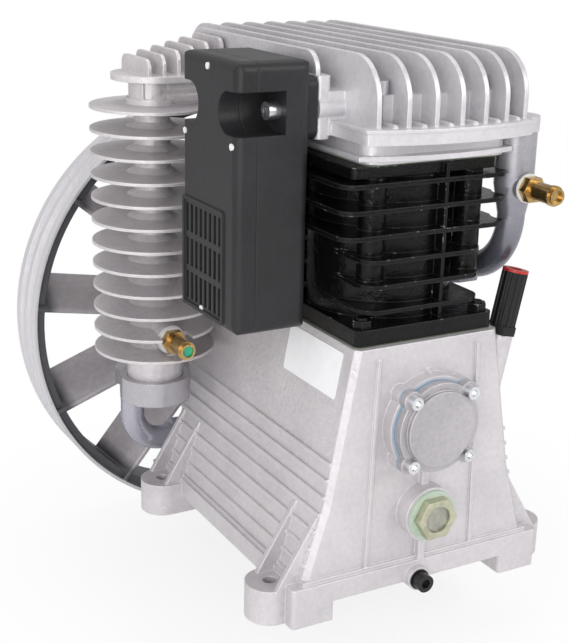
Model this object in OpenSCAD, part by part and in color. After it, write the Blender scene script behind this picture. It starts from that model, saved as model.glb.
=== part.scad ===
// Two-stage belt-driven air compressor pump: the bare pump as it is bolted to a tank deck.
// X runs across the pump, Y along the crankshaft toward the flywheel, Z up.
// The origin is the middle of the four foot holes, on the plane that the feet stand on.

/* [Feet and base rail] */
// Distance between the foot holes across the pump
foot_span_x = 232; // [226:1:240]
// Distance between the foot holes along the crankshaft
foot_span_y = 201; // [194:1:206]
// Diameter of each foot hole
foot_hole_d = 11; // [9:0.5:13]
// Radius of each round foot pad
foot_r = 19; // [17:0.5:21]
// Height of the foot pads
foot_h = 28; // [24:1:31]
// Height of the arch between the feet, under the base rail
arch_h = 16; // [12:1:19]
// Height of the top of the base rail
rail_top = 32; // [30:1:36]
// Distance that the base rail stands proud of the end faces
rail_proud = 5; // [4:0.5:7]

/* [Crankcase] */
// Length of the crankcase along the crankshaft
case_len = 252; // [248:1:258]
// Height of the deck that carries the cylinders
case_h = 209; // [205:1:214]
// Width of the crankcase at the deck
case_top_w = 125; // [123:1:130]
// Width of the crankcase at its shoulder, where the sides flare out
case_mid_w = 168; // [162:1:174]
// Width of the crankcase at the base rail
case_base_w = 204; // [198:1:210]
// Wall thickness of the casting
case_wall = 7; // [6:0.5:8]
// Height of the crankshaft axis above the feet
crank_z = 146.5; // [145:0.5:148]

/* [Cylinders and pistons] */
// Bore of the low-pressure cylinder
low_bore = 95; // [90:1:98]
// Bore of the high-pressure cylinder
high_bore = 50; // [46:1:54]
// Stroke of both pistons
stroke = 60; // [56:1:62]
// Distance between the two cylinder axes
bore_pitch = 110; // [108:1:114]
// Height of the cylinder block
block_h = 128; // [124:1:132]
// Distance between the cooling fins of the block
block_fin_pitch = 18.6; // [17:0.2:19]
// Thickness of the cooling fins of the block
block_fin_t = 3.4; // [2.6:0.2:4.2]

/* [Cylinder head] */
// Height of the head from its joint face to the fin tips
head_h = 58.5; // [54:0.5:64]
// Thickness of the head's base flange
head_flange_t = 11; // [9:0.5:13]
// Distance between the tall fins
head_fin_pitch = 21; // [20.6:0.1:21.4]
// Thickness of the tall fins
head_fin_t = 3.6; // [3:0.2:4.2]
// Thickness of the valve plate
plate_t = 15.5; // [14:0.5:18]

/* [Intercooler] */
// Radius of the round fins on the column
column_fin_r = 50; // [46:1:52]
// Distance between the round fins
column_fin_pitch = 18.3; // [17.4:0.1:18.6]
// Number of round fins
column_fins = 12; // [10:1:12]
// Outer diameter of the cross pipe
pipe_od = 21; // [19:0.5:22]
// Wall thickness of the cross pipe
pipe_wall = 2.5; // [1.5:0.25:3]

/* [Intake filter] */
// Width of the filter box across the pump
box_w = 58; // [54:1:60]
// Length of the filter box along the pump
box_l = 90; // [86:1:94]
// Height of the filter box
box_h = 193; // [185:1:198]
// Wall thickness of the filter box
box_wall = 3; // [2.5:0.25:4]

/* [Flywheel] */
// Outer diameter of the flywheel
wheel_d = 400; // [390:1:404]
// Width of the rim
rim_w = 49.5; // [46:0.5:54]
// Radial thickness of the rim
rim_t = 11; // [10:0.5:14]
// Number of fan blades that carry the rim
blades = 12; // [10:1:12]
// Number of belt grooves
belt_grooves = 2; // [2:1:3]

/* [Bearing cover and plugs] */
// Radius of the round part of the bearing cover
cover_r = 35; // [34:0.5:37]
// Side of the square on which the cover screws sit
cover_screw_sq = 50; // [49:0.5:53]
// Diameter of the sight glass boss
sight_boss_d = 44; // [42:1:48]
// Height of the sight glass above the feet
sight_z = 74; // [70:1:78]

/* [Hidden] */

// Smoothness of curves
$fn = 64;
// Overrun of cuts past a face
cut = 1;
// Thickness of every paper gasket
gasket_t = 0.8;
// Running clearance of shafts, pins and pistons
run_fit = 0.05;
// Gap between parts that pass each other
gap = 0.3;
// Clearance of a screw in its hole, and of a spigot in its seat
seat_fit = 0.3;
// Half thickness of a thin cast rib
rib_half = 1.5;

// Crankcase
case_y = case_len / 2;
rail_y = case_y + rail_proud;
rail_side = 4;
rail_x = case_base_w / 2 + rail_side;
foot_x = foot_span_x / 2;
foot_y = foot_span_y / 2;
leg_in = 77;
leg_depth = 13;
leg_inset = 3;
leg_out = foot_x - leg_inset;
rail_lip_h = 3;
rail_lip_in = 2.5;
web_t = 4.5;
web_apex = 94;
case_shoulder_z = 92;
case_edge = 4;
floor_t = 7;
deck_t = 12;
deck_low = case_h - deck_t;
end_wall = 10;
inner_y = case_y - end_wall;
side_rib_out = 1.8;
side_rib_t = 2.6;
side_rib_pitch = 13;
side_ribs = 7;
face_rib_top = 201;
face_rib_x_top = 43.6;
face_rib_x_low = 48.4;
face_rib_out = 2;

function side_x(z) = z > case_shoulder_z
  ? case_mid_w / 2 + (case_top_w - case_mid_w) / 2 * (z - case_shoulder_z) / (case_h - case_shoulder_z)
  : case_base_w / 2 + (case_mid_w - case_base_w) / 2 * (z - rail_top) / (case_shoulder_z - rail_top);

// Front bearing seat and cover
boss_out = 11;
boss_step = 3;
boss_r = cover_r + boss_step;
ear_r = 7.5;
cover_sq = cover_screw_sq / 2;
front_face = case_y + boss_out;
race_front_r = 26;
race_front_w = 15;
cover_spigot = 3;
race_y = cover_spigot - front_face;
cover_plate_t = 7;
cover_disc_share = 0.83;
cover_disc_t = 3.5;
cover_screw_d = 6;
cover_screw_head_d = 10;
cover_screw_head_h = 6;
cover_screw_len = 16;
shoulder_r = 22;
boss_rib_top = 188;

// Rear bearing housing
rear_bore_r = 45;
rear_flange_r = 62;
rear_flange_t = 10;
rear_neck_r = 46;
rear_neck_len = 16;
race_rear_r = 40;
race_rear_w = 18;
race_rear_in = 6;
race_rear_y = case_y - race_rear_in;
rear_lip_r = 25;
seal_w = 8;
seal_r = 31;
rear_screws_n = 6;
rear_screw_r = 54;
rear_screw_d = 8;
rear_screw_head_d = 13;
rear_screw_head_h = 6;
shaft_rear_r = 20;
front_ball_r = 4;
front_pitch_r = 19.3;
front_land = 2.6;
rear_ball_r = 6;
rear_pitch_r = 30;
rear_land = 4;
balls_n = 9;
cage_t = 1.6;
shaft_nose_r = 19;

// Sight glass and drain
sight_out = 14;
sight_thread_r = 13;
sight_bore_r = 10.5;
sight_hex_af = 30;
sight_hex_h = 7.5;
sight_washer_r = 20;
sight_washer_t = 2.5;
sight_seat = -case_y - sight_out - sight_washer_t;
sight_lens_t = 4;
sight_lens_in = 2.5;
drain_x = -5;
drain_z = 19;
drain_boss_r = 9.5;
drain_boss_out = 6;
drain_face = -rail_y - drain_boss_out;
drain_thread_r = 5;
drain_head_r = 7;
drain_head_h = 8;
drain_washer_t = 1.2;
drain_len = 18;

// Filler plug with its breather
filler_lean = 12;
filler_x = 75;
filler_y = -113;
filler_z = 200;
filler_boss_r = 10;
filler_boss_len = 58;
filler_hole_r = 4;
filler_foot_h = 7;
filler_foot_af = 20;
filler_body_r = 10;
filler_body_h = 42;
filler_ring_h = 2;
filler_stick_len = 34;
filler_top = filler_foot_h + filler_body_h;
filler_core_r = filler_body_r - filler_ring_h / 2;

// Cylinder block
block_z = case_h + gasket_t;
block_top = block_z + block_h;
deck_margin = 5;
block_flange_w = case_top_w - deck_margin;
block_flange_l = case_len - 2 * deck_margin;
block_flange_t = 12;
flange_top = block_z + block_flange_t;
block_edge_r = 5;
bore_mid_y = 3;
low_y = bore_mid_y - bore_pitch / 2;
high_y = bore_mid_y + bore_pitch / 2;
barrel_wall = 8;
low_barrel_r = low_bore / 2 + barrel_wall;
high_barrel_r = high_bore / 2 + barrel_wall;
spigot_wall = 3.5;
spigot_len = 8;
low_spigot_r = low_bore / 2 + spigot_wall;
high_spigot_r = high_bore / 2 + spigot_wall;
block_fins = 6;
block_fin_up = 21;
block_fin_z0 = block_z + block_fin_up;
block_fin_x = 72;
block_fin_x_low = 52;
block_fin_low_count = 3;
block_fin_front = 118;
block_fin_back = 130;
block_fin_r = 14;
block_top_t = 8;
block_top_x = 62;
block_top_front = 111;
block_web_x = 15;
block_web_t = 2.6;

// Head bolts stand in the gaps between the fins
head_bolt_d = 10;
head_bolt_head_d = 16;
head_bolt_head_h = 10;
head_bolt_front = 98;
head_bolt_back = 119;
bolt_boss_r = 10;
bolt_boss_h = 90;
bolt_depth = 40;
bolt_bite = 30;
head_bolt_hole_r = head_bolt_d / 2 + seat_fit;

// Studs that hold the block down on the deck
stud_d = 8;
stud_in_x = 9;
stud_in_y = 9;
stud_nut_af = 13;
stud_nut_h = 6;
stud_end = 1.5;
stud_hole_r = stud_d / 2 + seat_fit;
stud_places = [for (x = [-1, 1]) for (y = [-1, 0, 1]) [
  x * (block_flange_w / 2 - stud_in_x),
  y == 0 ? bore_mid_y : y * (block_flange_l / 2 - stud_in_y)
]];

// Valve plate and head
plate_z = block_top + gasket_t;
plate_top = plate_z + plate_t;
head_z = plate_top + gasket_t;
head_top = head_z + head_h;
head_flange_top = head_z + head_flange_t;
head_mid_x = 15.4;
head_bolt_xs = [for (k = [-2, 2]) head_mid_x + k * head_fin_pitch - head_fin_pitch / 2];
head_bolt_ys = [-head_bolt_front, bore_mid_y, head_bolt_back];
head_left = 61;
head_right = 82;
head_back = 187;
head_front = 128;
head_bulge = 9;
head_left_r = 19;
head_right_r = 8;
head_lip_t = 2.4;
head_lip_in = 1.4;
body_left = 49;
body_right = 73;
body_inset = 27;
body_back = 172;
body_r = 14;
duct_seat_r = 16;
head_arc_r = 218;
head_nose = head_front + head_bulge;
head_arc_y = head_arc_r - head_nose;
fin_inset = 9;
fin_corner_r = 32;
fin_left_share = 0.9;
fin_root = 3;
box_boss_r = 9;
box_drop = 2.5;
head_fins_left = 3;
head_fins_right = 3;
side_wall_x = 71;
side_wall_t = 11;
side_wall_front = 75;
side_wall_back = 135;
side_wall_top = 42;
nub_r = 2.4;
nub_len = 26;
chamber_h = 26;
chamber_wall = 5;
body_top = head_z + chamber_h + chamber_wall;
chamber_r = 8;
chamber_left = 44;
chamber_split = 6;
chamber_right = 66;
chamber_front = 92;
chamber_mid_front = 10;
chamber_mid_back = 16;
chamber_back = 116;
chamber_out = 162;
plate_fin_t = 3.6;
plate_fin_z = 3;
plate_left = 57;
plate_right = 80;
plate_front = 122;
plate_back = 133;
plate_r = 12;
core_left = 51;
core_right = 72;
core_front = 111;
core_back = 128;
reed_t = 0.5;
reed_stop_t = 2.4;
low_port_r = 6;
high_port_r = 3.6;
low_port_x = 25;
high_port_x = 15;
port_pitch_share = 2.8;
outlet_y = 147;
outlet_out = 8;
outlet_x = head_right + outlet_out;
outlet_boss_r = 20;
outlet_r = 12.1;
outlet_z = head_z + outlet_boss_r;

// Intercooler arm and column
col_y = 97;
col_clear = 0.6;
col_core_r = 14.5;
col_root_r = 21;
col_flare_h = 4.5;
col_fin_edge = 2.4;
col_fin_root = 4.4;
col_bore_r = 9;
col_fin_drop = 1.1;
col_fin_z = head_z - col_fin_drop;
col_low_z = col_fin_z - (column_fins - 1) * column_fin_pitch;
col_x = -(max(block_fin_x, side_x(col_low_z)) + col_clear + column_fin_r);
col_neck_r = 18.5;
col_tail_r = 23.5;
arm_z = head_z + chamber_h / 2;
arm_plate_t = 5;
arm_plate_up = 9;
arm_plate_z = arm_z + arm_plate_up;
neck_rib_r = 1.6;
arm_r = 32.5;
arm_fin_pitch = 12.3;
arm_fins = 6;
arm_fin_t = 2.8;
arm_fin_len = 55;
arm_fin_low = 13;
arm_slope_share = 0.24;
arm_fin_r = 8;
arm_duct_w = 36;
arm_duct_h = 24;
arm_flange_t = 8;
arm_flange_w = 64;
arm_flange_low = 1;
arm_flange_high = 41;
arm_bolt_dy = 25;
arm_bolt_ys = [col_y - arm_bolt_dy, col_y + arm_bolt_dy];
arm_bolt_d = 8;
arm_bolt_head_d = 13;
arm_bolt_head_h = 8;

// Lower elbow, cross pipe and side duct
cup_r = 30;
cup_h = 21;
cup_floor = 12;
cup_gap = 23.5;
cup_z = col_low_z - cup_gap - cup_h;
cup_link_h = 13;
cup_link_r = 15;
cup_drill_r = 2.8;
pipe_r = pipe_od / 2;
pipe_out = 15;
pipe_y = case_y + pipe_out;
pipe_low = 48;
pipe_shift = 3.5;
pipe_left_x = col_x - pipe_shift;
pipe_bend_r = 28;
pipe_turn_z = 190;
pipe_nut_af = 29;
pipe_nut_h = 18;
pipe_ferrule_t = 2;
pipe_ferrule_r = pipe_r + pipe_ferrule_t;
pipe_ferrule_h = 5;
duct_x = 84;
duct_y = -104;
duct_turn_z = 252;
duct_bend_r = 50;
duct_top_r = 15;
duct_spigot_r = 10;
duct_spigot_h = 8;
duct_seal_w = 2;
elbow_reach = 46;
elbow_end = pipe_left_x + elbow_reach;
duct_reach = 56;
pipe_slope = atan2(duct_turn_z - pipe_turn_z, pipe_y - duct_y);
pipe_turn = 90 - pipe_slope;
slope_len = norm([pipe_y - duct_y, duct_turn_z - pipe_turn_z]);

// Safety valves
valve_z = 169;
valve_boss_r = 12;
valve_boss_y = 62;
valve_clear_r = 14;
valve_thread_r = 6;
valve_thread_len = 9;
valve_seal_r = 11;
valve_seal_t = 1.6;
valve_hex_af = 18;
valve_hex_h = 7;
valve_body_r = 7;
valve_body_h = 22;
valve_tip_r = 6.2;
valve_tip_h = 3;
valve_recess_r = 4.6;
valve_recess = 2.5;
duct_valve_z = 314;
duct_boss_out = 2;
duct_valve_y = duct_y - duct_top_r - duct_boss_out;

// Filter box, hung on the head's side wall
pad_x = -(side_wall_x + gasket_t);
box_flange_t = 8;
box_x1 = pad_x - box_flange_t;
box_x0 = box_x1 - box_w;
box_y0 = -82;
box_y1 = box_y0 + box_l;
box_top_in = 4;
box_z1 = head_top - box_top_in;
box_z0 = box_z1 - box_h;
box_r = 7;
box_seam = 16;
seam_x = box_x0 + box_seam;
base_x = seam_x + gasket_t;
box_flange_l = 78;
box_flange_lead = 1;
box_flange_y0 = -side_wall_front - box_flange_lead;
box_flange_y1 = box_flange_y0 + box_flange_l;
box_flange_z0 = head_z - box_drop;
box_flange_z1 = head_z + side_wall_top;
pocket_r = 15;
pocket_up = 19;
pocket_z = head_z + pocket_up;
pocket_in = 20;
pocket_y = -68;
intake_r = 15;
intake_y = (box_flange_y0 + box_flange_y1) / 2;
box_screw_ys = [pocket_y, 2 * intake_y - pocket_y];
box_screw_d = 8;
box_screw_head_d = 13;
box_screw_head_h = 9;
box_screw_bite = 9;
wall_screw_end = box_screw_bite - side_wall_x;
grille_cols = 8;
grille_rows = 3;
slot_w = 4;
slot_h = 21;
slot_pitch_y = 7.8;
slot_pitch_z = 26;
grille_y = -29;
grille_z = 262;
grille_frame = 3;
grille_proud = 1.2;
clip_r = 2.4;
clip_in = 7;
clip_proud = 1;
clip_places = [
  [intake_y, box_z1 - clip_in], [box_y1 - clip_in, pocket_z - pocket_r - clip_in],
  [box_y0 + clip_in, pocket_z - pocket_r - clip_in], [box_y1 - 5 * clip_in, box_z0 + clip_in]
];
element_pleats = 10;
element_x = 30;
element_rim = 4;
element_z0 = 230;
element_z1 = 344;
element_pitch = 7;
pleat_t = 1.6;

// Flywheel
wheel_y = 186;
wheel_r = wheel_d / 2;
rim_in_r = wheel_r - rim_t;
rim_recess = 5;
rim_lip = 3;
groove_pitch = 19;
groove_top = 13;
groove_low = 8;
groove_depth = 7.5;
hub_r = 40;
hub_back = 4;
hub_bore_r = shaft_nose_r;
hub_front = 10;
blade_t = 5;
blade_pitch_deg = 26;
blade_depth_share = 0.87;
blade_phase = 20.5;
bead_r = 2.8;
key_w = 10;
key_h = 8;
wheel_washer_r = 26;
wheel_washer_t = 5;
wheel_bolt_d = 14;
wheel_bolt_af = 22;
wheel_bolt_h = 9;
wheel_bolt_len = 34;
wheel_back = wheel_y + rim_w;
hub_y = wheel_y - hub_front;
wheel_seat = wheel_back - hub_back;
shaft_end = wheel_seat - gap;

// Crank train
crank_r = stroke / 2;
pin_r = 15;
pin_len = 30;
crank_web_t = 13;
crank_mid_r = 18;
web_hub_r = 22;
counter_r = 48;
counter_drop = 6;
pin_web_r = 18;
crank_nose_r = 12.5;
crank_step_r = 17;
rod_w = 28;
rod_wall = 8;
rod_small_w = 22;
rod_small_wall = 5;
rod_shank_w = 18;
rod_shank_t = 14;
rod_bolt_x = 21;
rod_bolt_r = 3.5;
rod_ear_r = 6.5;
rod_ear_h = 17;
piston_fit = 0.08;
top_clear = 0.6;
comp_h = 39;
low_piston_h = 58;
high_piston_h = 50;
crown_t = 8;
skirt_wall = 4;
low_gudgeon_r = 9;
high_gudgeon_r = 6.5;
ring_h = 2.5;
ring_deep = 3;
ring_gap_h = 5;
ring_count = 3;
piston_top = block_top - top_clear;
high_top = piston_top - stroke;
low_pin_z = crank_z + crank_r;
high_pin_z = crank_z - crank_r;

// Profile in X and Z along Y
module along_y(y0, y1) {
  translate([0, y1, 0]) rotate([90, 0, 0]) linear_extrude(y1 - y0) children();
}

// Profile in Y and Z along X
module along_x(x0, x1) {
  translate([x0, 0, 0]) rotate([90, 0, 90]) linear_extrude(x1 - x0) children();
}

// Round bar along Y
module bar_y(r, y0, y1, x = 0, z = 0) {
  translate([x, y1, z]) rotate([90, 0, 0]) cylinder(r = r, h = y1 - y0);
}

// Round bar along X
module bar_x(r, x0, x1, y = 0, z = 0) {
  translate([x0, y, z]) rotate([0, 90, 0]) cylinder(r = r, h = x1 - x0);
}

// Round bar along Z
module bar_z(r, z0, z1, x = 0, y = 0) {
  translate([x, y, z0]) cylinder(r = r, h = z1 - z0);
}

// Hexagon prism along Y
module hex_y(af, y0, y1, x = 0, z = 0) {
  translate([x, y1, z]) rotate([90, 0, 0]) cylinder(d = af / cos(30), h = y1 - y0, $fn = 6);
}

// Plain block between two corners
module block(x0, x1, y0, y1, z0, z1) {
  translate([x0, y0, z0]) cube([x1 - x0, y1 - y0, z1 - z0]);
}

// Rectangle with round corners
module round_rect(x0, x1, y0, y1, r) {
  translate([x0 + r, y0]) square([x1 - x0 - 2 * r, y1 - y0]);
  translate([x0, y0 + r]) square([x1 - x0, y1 - y0 - 2 * r]);
  for (x = [x0 + r, x1 - r]) for (y = [y0 + r, y1 - r]) translate([x, y]) circle(r);
}

// Block whose upright edges are round
module round_block(x0, x1, y0, y1, z0, z1, r) {
  translate([0, 0, z0]) linear_extrude(z1 - z0) round_rect(x0, x1, y0, y1, r);
}

// Block whose twelve edges are all round
module soft_block(x0, x1, y0, y1, z0, z1, r) {
  intersection() {
    round_block(x0, x1, y0, y1, z0, z1, r);
    along_y(y0, y1) round_rect(x0, x1, z0, z1, r);
    along_x(x0, x1) round_rect(y0, y1, z0, z1, r);
  }
}

// Repeats its children in all four corners
module corners() {
  for (mx = [0, 1]) for (my = [0, 1]) mirror([mx, 0, 0]) mirror([0, my, 0]) children();
}

// Socket head screw along Y
module socket_screw_y(x, seat_y, z, d, head_d, head_h, len) {
  difference() {
    union() {
      bar_y(head_d / 2, seat_y - head_h, seat_y, x, z);
      bar_y(d / 2 - run_fit, seat_y, seat_y + len, x, z);
    }
    hex_y(head_d / 2, seat_y - head_h - cut, seat_y - head_h / 2, x, z);
  }
}

// Slab of the crankcase with chamfered edges
module case_slab(z0, z1) {
  hull() {
    along_y(-case_y + case_edge, case_y - case_edge) polygon([
      [-side_x(z0), z0], [side_x(z0), z0], [side_x(z1), z1], [-side_x(z1), z1]
    ]);
    along_y(-case_y, case_y) polygon([
      [case_edge - side_x(z0), z0], [side_x(z0) - case_edge, z0],
      [side_x(z1) - case_edge, z1], [case_edge - side_x(z1), z1]
    ]);
  }
}

// Hollow of the crankcase above its sump floor
module case_cavity() {
  low = case_base_w / 2 - case_wall;
  mid = case_mid_w / 2 - case_wall;
  top = side_x(deck_low) - case_wall;
  along_y(-inner_y, inner_y) polygon([
    [-low, arch_h + floor_t], [low, arch_h + floor_t], [low, rail_top],
    [mid, case_shoulder_z], [top, deck_low], [-top, deck_low],
    [-mid, case_shoulder_z], [-low, rail_top]
  ]);
}

// One foot with its two gusset webs
module foot() {
  bar_z(foot_r, 0, foot_h, foot_x, foot_y);
  block(leg_in, foot_x, foot_y - foot_r, foot_y + foot_r, 0, foot_h);
  round_block(leg_in, leg_out, rail_y - leg_depth, rail_y, 0, rail_top, leg_depth / 4);
  for (y = [foot_y - foot_r + web_t, foot_y + foot_r - web_t / 2]) {
    along_y(y - web_t / 2, y + web_t / 2) polygon([
      [side_x(web_apex) - case_wall / 2, web_apex],
      [foot_x + foot_r / 4, foot_h - cut],
      [case_mid_w / 2, foot_h - cut]
    ]);
  }
}

// Low ribs on the sides and the end faces
module case_ribs() {
  for (k = [0 : side_ribs - 1]) for (m = [0, 1]) mirror([m, 0, 0]) {
    z = case_shoulder_z + (side_ribs - 1 - k - side_ribs / 2) * side_rib_pitch - side_rib_t;
    along_y(-case_y + case_edge, case_y - case_edge) polygon([
      [side_x(z) - case_wall / 2, z], [side_x(z) + side_rib_out, z],
      [side_x(z + side_rib_t) + side_rib_out, z + side_rib_t],
      [side_x(z + side_rib_t) - case_wall / 2, z + side_rib_t]
    ]);
  }
  for (m = [0, 1]) mirror([m, 0, 0]) {
    along_y(-case_y - face_rib_out, case_y + face_rib_out) polygon([
      [face_rib_x_low - rib_half, rail_top], [face_rib_x_low + rib_half, rail_top],
      [face_rib_x_top + rib_half, face_rib_top], [face_rib_x_top - rib_half, face_rib_top]
    ]);
  }
}

// Aluminium crankcase
module crankcase() {
  color("gainsboro") difference() {
    union() {
      difference() {
        union() {
          case_slab(rail_top - cut, case_shoulder_z);
          case_slab(case_shoulder_z, case_h);
          block(-rail_x, rail_x, -rail_y, rail_y, arch_h, rail_top);
          block(rail_lip_in - rail_x, rail_x - rail_lip_in, rail_lip_in - rail_y, rail_y - rail_lip_in,
            arch_h, rail_top + rail_lip_h);
          corners() foot();
          case_ribs();
          bar_y(sight_boss_d / 2, -case_y - sight_out, -inner_y, 0, sight_z);
          bar_y(drain_boss_r, drain_face, -inner_y, drain_x, drain_z);
          block(-rib_half * 2, rib_half * 2, -rail_y, -case_y + cut, rail_top, crank_z);
          filler_boss();
        }
        case_cavity();
      }
      front_boss();
    }
    case_holes();
  }
}

// Places of the four cover screws
module at_ears() {
  for (x = [-cover_sq, cover_sq]) for (z = [-cover_sq, cover_sq]) translate([x, 0, crank_z + z]) children();
}

// Raised seat of the front bearing
module front_boss() {
  bar_y(boss_r, -front_face, -inner_y, 0, crank_z);
  at_ears() bar_y(ear_r, -front_face, -case_y + cut);
  along_x(-rib_half, rib_half) polygon([
    [race_y, crank_z + boss_r - rib_half], [-case_y + cut, boss_rib_top],
    [-case_y + cut, crank_z + shoulder_r]
  ]);
}

// Place of the filler plug
module at_filler() {
  translate([filler_x, filler_y, filler_z]) rotate([0, filler_lean, 0]) children();
}

// Slanted boss of the filler plug
module filler_boss() {
  at_filler() bar_z(filler_boss_r, -filler_boss_len, 0);
}

// Every hole of the crankcase
module case_holes() {
  corners() bar_z(foot_hole_d / 2, -cut, foot_h + rail_top, foot_x, foot_y);
  bar_y(race_front_r, -front_face - cut, race_y + race_front_w, 0, crank_z);
  bar_y(shoulder_r, -front_face, -inner_y + cut, 0, crank_z);
  at_ears() bar_y(cover_screw_d / 2, -front_face - cut, -front_face + cover_screw_len);
  bar_y(rear_bore_r + run_fit, inner_y - cut, case_y + face_rib_out + cut, 0, crank_z);
  at_rear_screws() bar_z(rear_screw_d / 2, -end_wall - cut, cut);
  bar_y(rear_flange_r + seat_fit, case_y, case_y + face_rib_out + cut, 0, crank_z);
  bar_y(sight_thread_r, -case_y - sight_out - cut, -inner_y + cut, 0, sight_z);
  bar_y(drain_thread_r, drain_face - cut, -case_y + 2 * end_wall, drain_x, drain_z);
  bar_z(drain_thread_r, drain_z, arch_h + floor_t + cut, drain_x, -case_y + 2 * end_wall);
  bar_z(low_spigot_r + seat_fit, deck_low - cut, case_h + cut, 0, low_y);
  bar_z(high_spigot_r + seat_fit, deck_low - cut, case_h + cut, 0, high_y);
  for (p = stud_places) bar_z(stud_d / 2, deck_low + 2 * cut, case_h + cut, p.x, p.y);
  at_filler() bar_z(filler_hole_r, -filler_boss_len - end_wall, cut);
}

// Outline shared by the head, set in from its edge
module head_outline(inset) {
  intersection() {
    round_rect(inset - head_left, 2 * head_right, inset - head_nose,
      head_back - inset, head_left_r);
    round_rect(-2 * head_left, head_right - inset, inset - head_nose,
      head_back - inset, head_right_r);
    translate([head_mid_x, head_arc_y]) circle(head_arc_r - inset, $fn = 128);
  }
}

// Front end of a tall fin
function fin_front(x) = head_arc_y
  - sqrt(pow(head_arc_r - fin_inset, 2) - pow(x - head_mid_x, 2));

// Fin profile with round upper corners
module fin_profile(y0, y1, z0, z1, r) {
  difference() {
    translate([y0, z0]) square([y1 - y0, z1 - z0]);
    difference() {
      translate([y0 - cut, z1 - r]) square([r + cut, r + cut]);
      translate([y0 + r, z1 - r]) circle(r);
    }
    difference() {
      translate([y1 - r, z1 - r]) square([r + cut, r + cut]);
      translate([y1 - r, z1 - r]) circle(r);
    }
  }
}

// Places for the six head bolts
module at_head_bolts() {
  for (x = head_bolt_xs) for (y = head_bolt_ys) translate([x, y, 0]) children();
}

// Plan of the four valve chambers
module chamber_plan(inset) {
  difference() {
    for (c = [
      [-chamber_left, chamber_split - chamber_r, -chamber_front, -chamber_mid_front],
      [chamber_split + chamber_r / 2, chamber_right, -chamber_front, -chamber_mid_front],
      [-chamber_left, chamber_split - chamber_r, chamber_mid_back, chamber_back],
      [chamber_split + chamber_r / 2, chamber_right, chamber_mid_back, chamber_back]
    ]) round_rect(c[0] + inset, c[1] - inset, c[2] + inset, c[3] - inset, chamber_r);
    at_head_bolts() circle(bolt_boss_r);
  }
}

// Paper gasket under the cylinder block
module deck_gasket() {
  color("darkolivegreen") difference() {
    round_block(-block_flange_w / 2, block_flange_w / 2, -block_flange_l / 2, block_flange_l / 2,
      case_h, block_z, block_edge_r);
    bar_z(low_spigot_r + seat_fit, case_h - cut, block_z + cut, 0, low_y);
    bar_z(high_spigot_r + seat_fit, case_h - cut, block_z + cut, 0, high_y);
    for (p = stud_places) bar_z(stud_hole_r, case_h - cut, block_z + cut, p.x, p.y);
  }
}

// Cast iron block with both finned barrels
module cylinder_block() {
  color("dimgray") difference() {
    union() {
      round_block(-block_flange_w / 2, block_flange_w / 2, -block_flange_l / 2, block_flange_l / 2,
        block_z, flange_top, block_edge_r);
      bar_z(low_barrel_r, block_z, block_top, 0, low_y);
      bar_z(high_barrel_r, block_z, block_top, 0, high_y);
      bar_z(low_spigot_r, block_z - spigot_len, block_z + cut, 0, low_y);
      bar_z(high_spigot_r, block_z - spigot_len, block_z + cut, 0, high_y);
      for (i = [0 : block_fins - 1]) block_fin(i);
      round_block(-block_top_x, block_top_x, -block_top_front, core_back,
        block_top - block_top_t, block_top, block_edge_r);
      at_head_bolts() bar_z(bolt_boss_r, block_top - bolt_boss_h, block_top);
      block(block_web_x - block_web_t / 2, block_web_x + block_web_t / 2,
        -block_fin_front + block_web_t, low_y, flange_top - cut, block_top - cut);
    }
    bar_z(low_bore / 2, block_z - spigot_len - cut, block_top + cut, 0, low_y);
    bar_z(high_bore / 2, block_z - spigot_len - cut, block_top + cut, 0, high_y);
    at_head_bolts() bar_z(head_bolt_d / 2, block_top - bolt_depth, block_top + cut);
    for (p = stud_places) bar_z(stud_hole_r, block_z - cut, flange_top + cut, p.x, p.y);
    bar_z(duct_top_r + cut, flange_top + cut, block_top + cut, duct_x, duct_y);
  }
}

// Cooling fin of the block
module block_fin(i) {
  half = i < block_fin_low_count ? block_fin_x_low : block_fin_x;
  z = block_fin_z0 + i * block_fin_pitch;
  round_block(-half, half, -block_fin_front, block_fin_back, z, z + block_fin_t, block_fin_r);
}

// Studs and nuts that hold the block down
module block_nuts() {
  seat = flange_top;
  color("silver") for (p = stud_places) translate([p.x, p.y, 0]) {
    bar_z(stud_d / 2 - run_fit, deck_low + 2 * cut, seat + stud_nut_h + stud_end);
    translate([0, 0, seat]) cylinder(d = stud_nut_af / cos(30), h = stud_nut_h, $fn = 6);
  }
}

// Gasket under the valve plate
module lower_gasket() {
  color("darkolivegreen") difference() {
    round_block(-core_left, block_top_x, -core_front, core_back, block_top, plate_z, block_edge_r);
    bar_z(low_bore / 2, block_top - cut, plate_z + cut, 0, low_y);
    bar_z(high_bore / 2, block_top - cut, plate_z + cut, 0, high_y);
    at_head_bolts() bar_z(head_bolt_hole_r, block_top - cut, plate_z + cut);
  }
}

// Places of one cylinder's valve ports on one side
module at_ports(side, y, x, r) {
  for (k = [-1, 0, 1]) translate([side * x, y + k * r * port_pitch_share, 0]) children();
}

// Spring steel flaps of the intake ports
module suction_reeds() {
  color("silver") {
    reed(-low_port_x, low_y, low_port_r, plate_z - reed_t, reed_t);
    reed(-high_port_x, high_y, high_port_r, plate_z - reed_t, reed_t);
  }
}

// One reed that covers a row of three ports
module reed(x, y, r, z, t) {
  long = r * (port_pitch_share + 1) + reed_t;
  round_block(x - r - reed_t, x + r + reed_t, y - long, y + long, z, z + t, r);
}

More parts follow.
